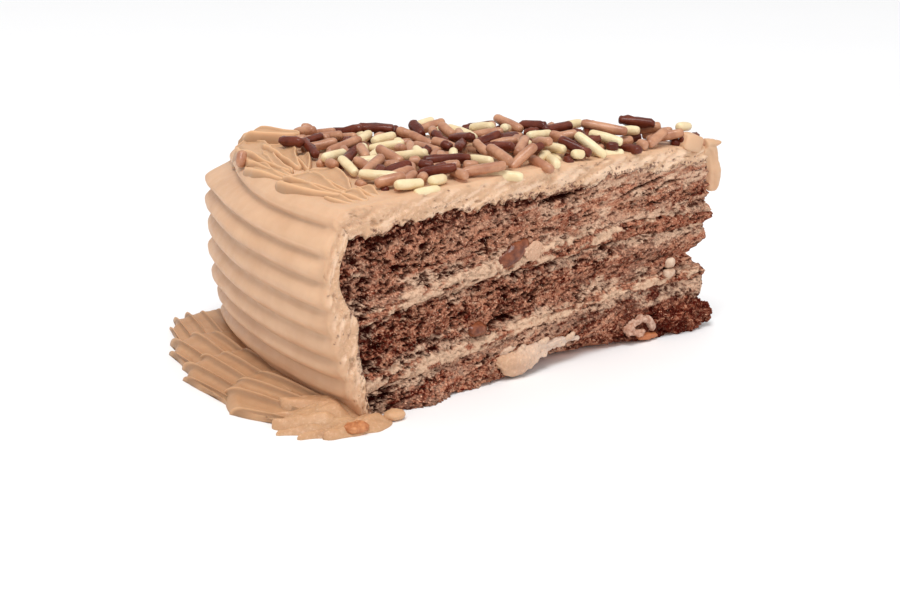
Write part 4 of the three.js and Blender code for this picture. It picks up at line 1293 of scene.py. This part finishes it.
# The foot's buttercream is the border's cream painted darker: painted shade where it lies low beside the
# wall.
foot_border_shaded = icing_paint("foot_buttercream_shaded", srgb(195, 151, 113), srgb(177, 133, 97))
paints = {
    "dark": sprinkle_paint("sprinkle_dark", srgb(86, 32, 20), srgb(114, 54, 36), 0.3, 0.3, 0.12),
    "milk": sprinkle_paint("sprinkle_milk", srgb(198, 144, 110), srgb(168, 112, 83), 0.38, 0.3),
    "cream": sprinkle_paint("sprinkle_cream", srgb(240, 220, 178), srgb(230, 206, 160), 0.42, 0.25),
    "caramel": piece_paint("caramel", srgb(142, 80, 52), srgb(96, 46, 28), 0.22),
    "nut": piece_paint("nut", srgb(224, 192, 170), srgb(158, 112, 92), 0.5, 0.9),
    "bead": piece_paint("nut_bead", srgb(224, 198, 174), srgb(192, 154, 128), 0.45),
    "toasted": piece_paint("toasted_nut", srgb(206, 140, 92), srgb(166, 96, 56), 0.45),
    "smear": smeared,
    "dab": border,
}

CRUMB = {"shadow": srgb(74, 12, 4), "crumb": srgb(150, 68, 44), "light": srgb(206, 143, 113)}
sponge = cut_paint("sponge", cream=srgb(226, 190, 162), roughness=0.7, **CRUMB)
filling = cut_paint("filling", cream=srgb(220, 184, 155), roughness=0.62, **CRUMB)

# Qualities of the cuts at r = 0, 30, 60, 90 and 120: how dark, how torn and how open the crumb is, how much
# cream is smeared over it, and how much icing is dragged down from the top.
LOOKS = {
    "sponge_bottom": {
        "cream_above": True, "cream_below": False, "crust": 0.0, "corner": 0.9, "chunk": 1.0,
        "tone": (0.8, 0.85, 0.45, 0.6, 0.95),
        "rough": (0.7, 0.5, 0.45, 0.7, 1.0),
        "open": (0.5, 0.5, 0.4, 0.5, 0.8),
        "smear": (0.0, 0.1, 0.5, 0.4, 0.0),
        "dragged": (0, 0, 0, 0, 0),
    },
    "sponge_middle": {
        "cream_above": True, "cream_below": True, "crust": 0.2, "corner": 0.0, "chunk": 0.0,
        "tone": (0.5, 0.55, 0.5, 0.5, 0.55),
        "rough": (0.4, 0.6, 0.8, 1.0, 1.0),
        "open": (0.35, 0.55, 0.6, 0.85, 0.95),
        "smear": (0.35, 0.25, 0.1, 0.0, 0.0),
        "dragged": (0, 0, 0, 0, 0),
    },
    "sponge_top": {
        "cream_above": False, "cream_below": True, "crust": 0.8, "corner": 0.0, "chunk": 0.0,
        "tone": (0.45, 0.4, 0.35, 0.25, 0.45),
        "rough": (0.4, 0.4, 0.65, 0.85, 1.0),
        "open": (0.4, 0.4, 0.5, 0.6, 0.9),
        "smear": (0.35, 0.5, 0.3, 0.25, 0.35),
        "dragged": (0.9, 1.0, 0.75, 0.15, 0.0),
    },
}
FILLINGS = {
    "filling_lower": {
        "tone": (0.45, 0.4, 0.4, 0.5, 0.5),
        "shown": (0.1, 0.6, 0.95, 0.75, 0.8),
        "open": (0.3, 0.3, 0.4, 0.7, 0.9),
    },
    "filling_upper": {
        "tone": (0.45, 0.4, 0.4, 0.5, 0.5),
        "shown": (0.0, 0.1, 0.7, 1.0, 0.7),
        "open": (0.3, 0.4, 0.4, 0.6, 0.9),
    },
}
for name, look in LOOKS.items():
    skin = layer(name, crumb_relief, **look)
    if name == "sponge_bottom":
        tip_chunk(skin)
    skin.piece(name.replace("sponge", "crumb"), sponge, "sponge", name)
for name, look in FILLINGS.items():
    skin = layer(name, cream_relief, spread=0.9, **look)
    if name == "filling_upper":
        path = [on_cut(*at) for at in CREAM_PATH]
        strand(skin, path, CREAM_WIDE, 640, rough=0.7, grain=1.8, masks={"cream": 0.75, "tone": 0.2})
    skin.piece(name.replace("filling", "cream"), filling, "filling", name)
coat(icing)
sprinkles(paints, borders(border, foot_border_shaded))
small_pieces(paints)

# ---------------------------------------------------------------- floor, light and camera

IMAGE_WIDTH = 900
FOCAL_PX = 2000.0
EYE = Vector((-192.04, -436.82, 161.08)) * MM
LOOK = Vector((0.3868, 0.8742, -0.2935)).normalized()
UP = Vector((0.1, 0.2767, 0.9558))
FLOOR_HALF = 4.0  # metres

camera = add("camera", bpy.data.cameras.new("camera"))
camera.data.lens = camera.data.sensor_width * FOCAL_PX / IMAGE_WIDTH
right = LOOK.cross(UP).normalized()
axes = Matrix((right, right.cross(LOOK), -LOOK)).transposed()
camera.matrix_world = Matrix.Translation(EYE) @ axes.to_4x4()
camera.data.clip_start = 0.01
bpy.context.scene.camera = camera
bpy.context.scene.view_settings.view_transform = "Standard"


def add_floor():
    mesh = bpy.data.meshes.new("floor")
    corners = [(x * FLOOR_HALF, y * FLOOR_HALF, 0) for x, y in ((-1, -1), (1, -1), (1, 1), (-1, 1))]
    mesh.from_pydata(corners, [], [(0, 1, 2, 3)])
    floor = add("floor", mesh)
    paint = Paint("floor", 0.6)
    paint.set("Base Color", paint.blend(paint.speckle(80), (0.93, 0.93, 0.935), (0.95, 0.95, 0.955)))
    mesh.materials.append(paint.material)


def add_light(name, place_mm, size_mm, power, aim=(0, 0, 25)):
    data = bpy.data.lights.new(name, "AREA")
    data.size = size_mm * MM
    data.energy = power
    light = add(name, data)
    light.location = Vector(place_mm) * MM
    toward = Vector(aim) * MM - light.location
    light.rotation_euler = toward.to_track_quat("-Z", "Y").to_euler()


add_floor()
add_light("key", (-500, -700, 2000), 1050, 31)
add_light("fill", (700, -900, 500), 900, 2)
world = bpy.data.worlds.new("studio")
bpy.context.scene.world = world
world.use_nodes = True
sky = world.node_tree.nodes["Background"].inputs
sky["Color"].default_value = (1, 1, 1, 1)
sky["Strength"].default_value = 0.66
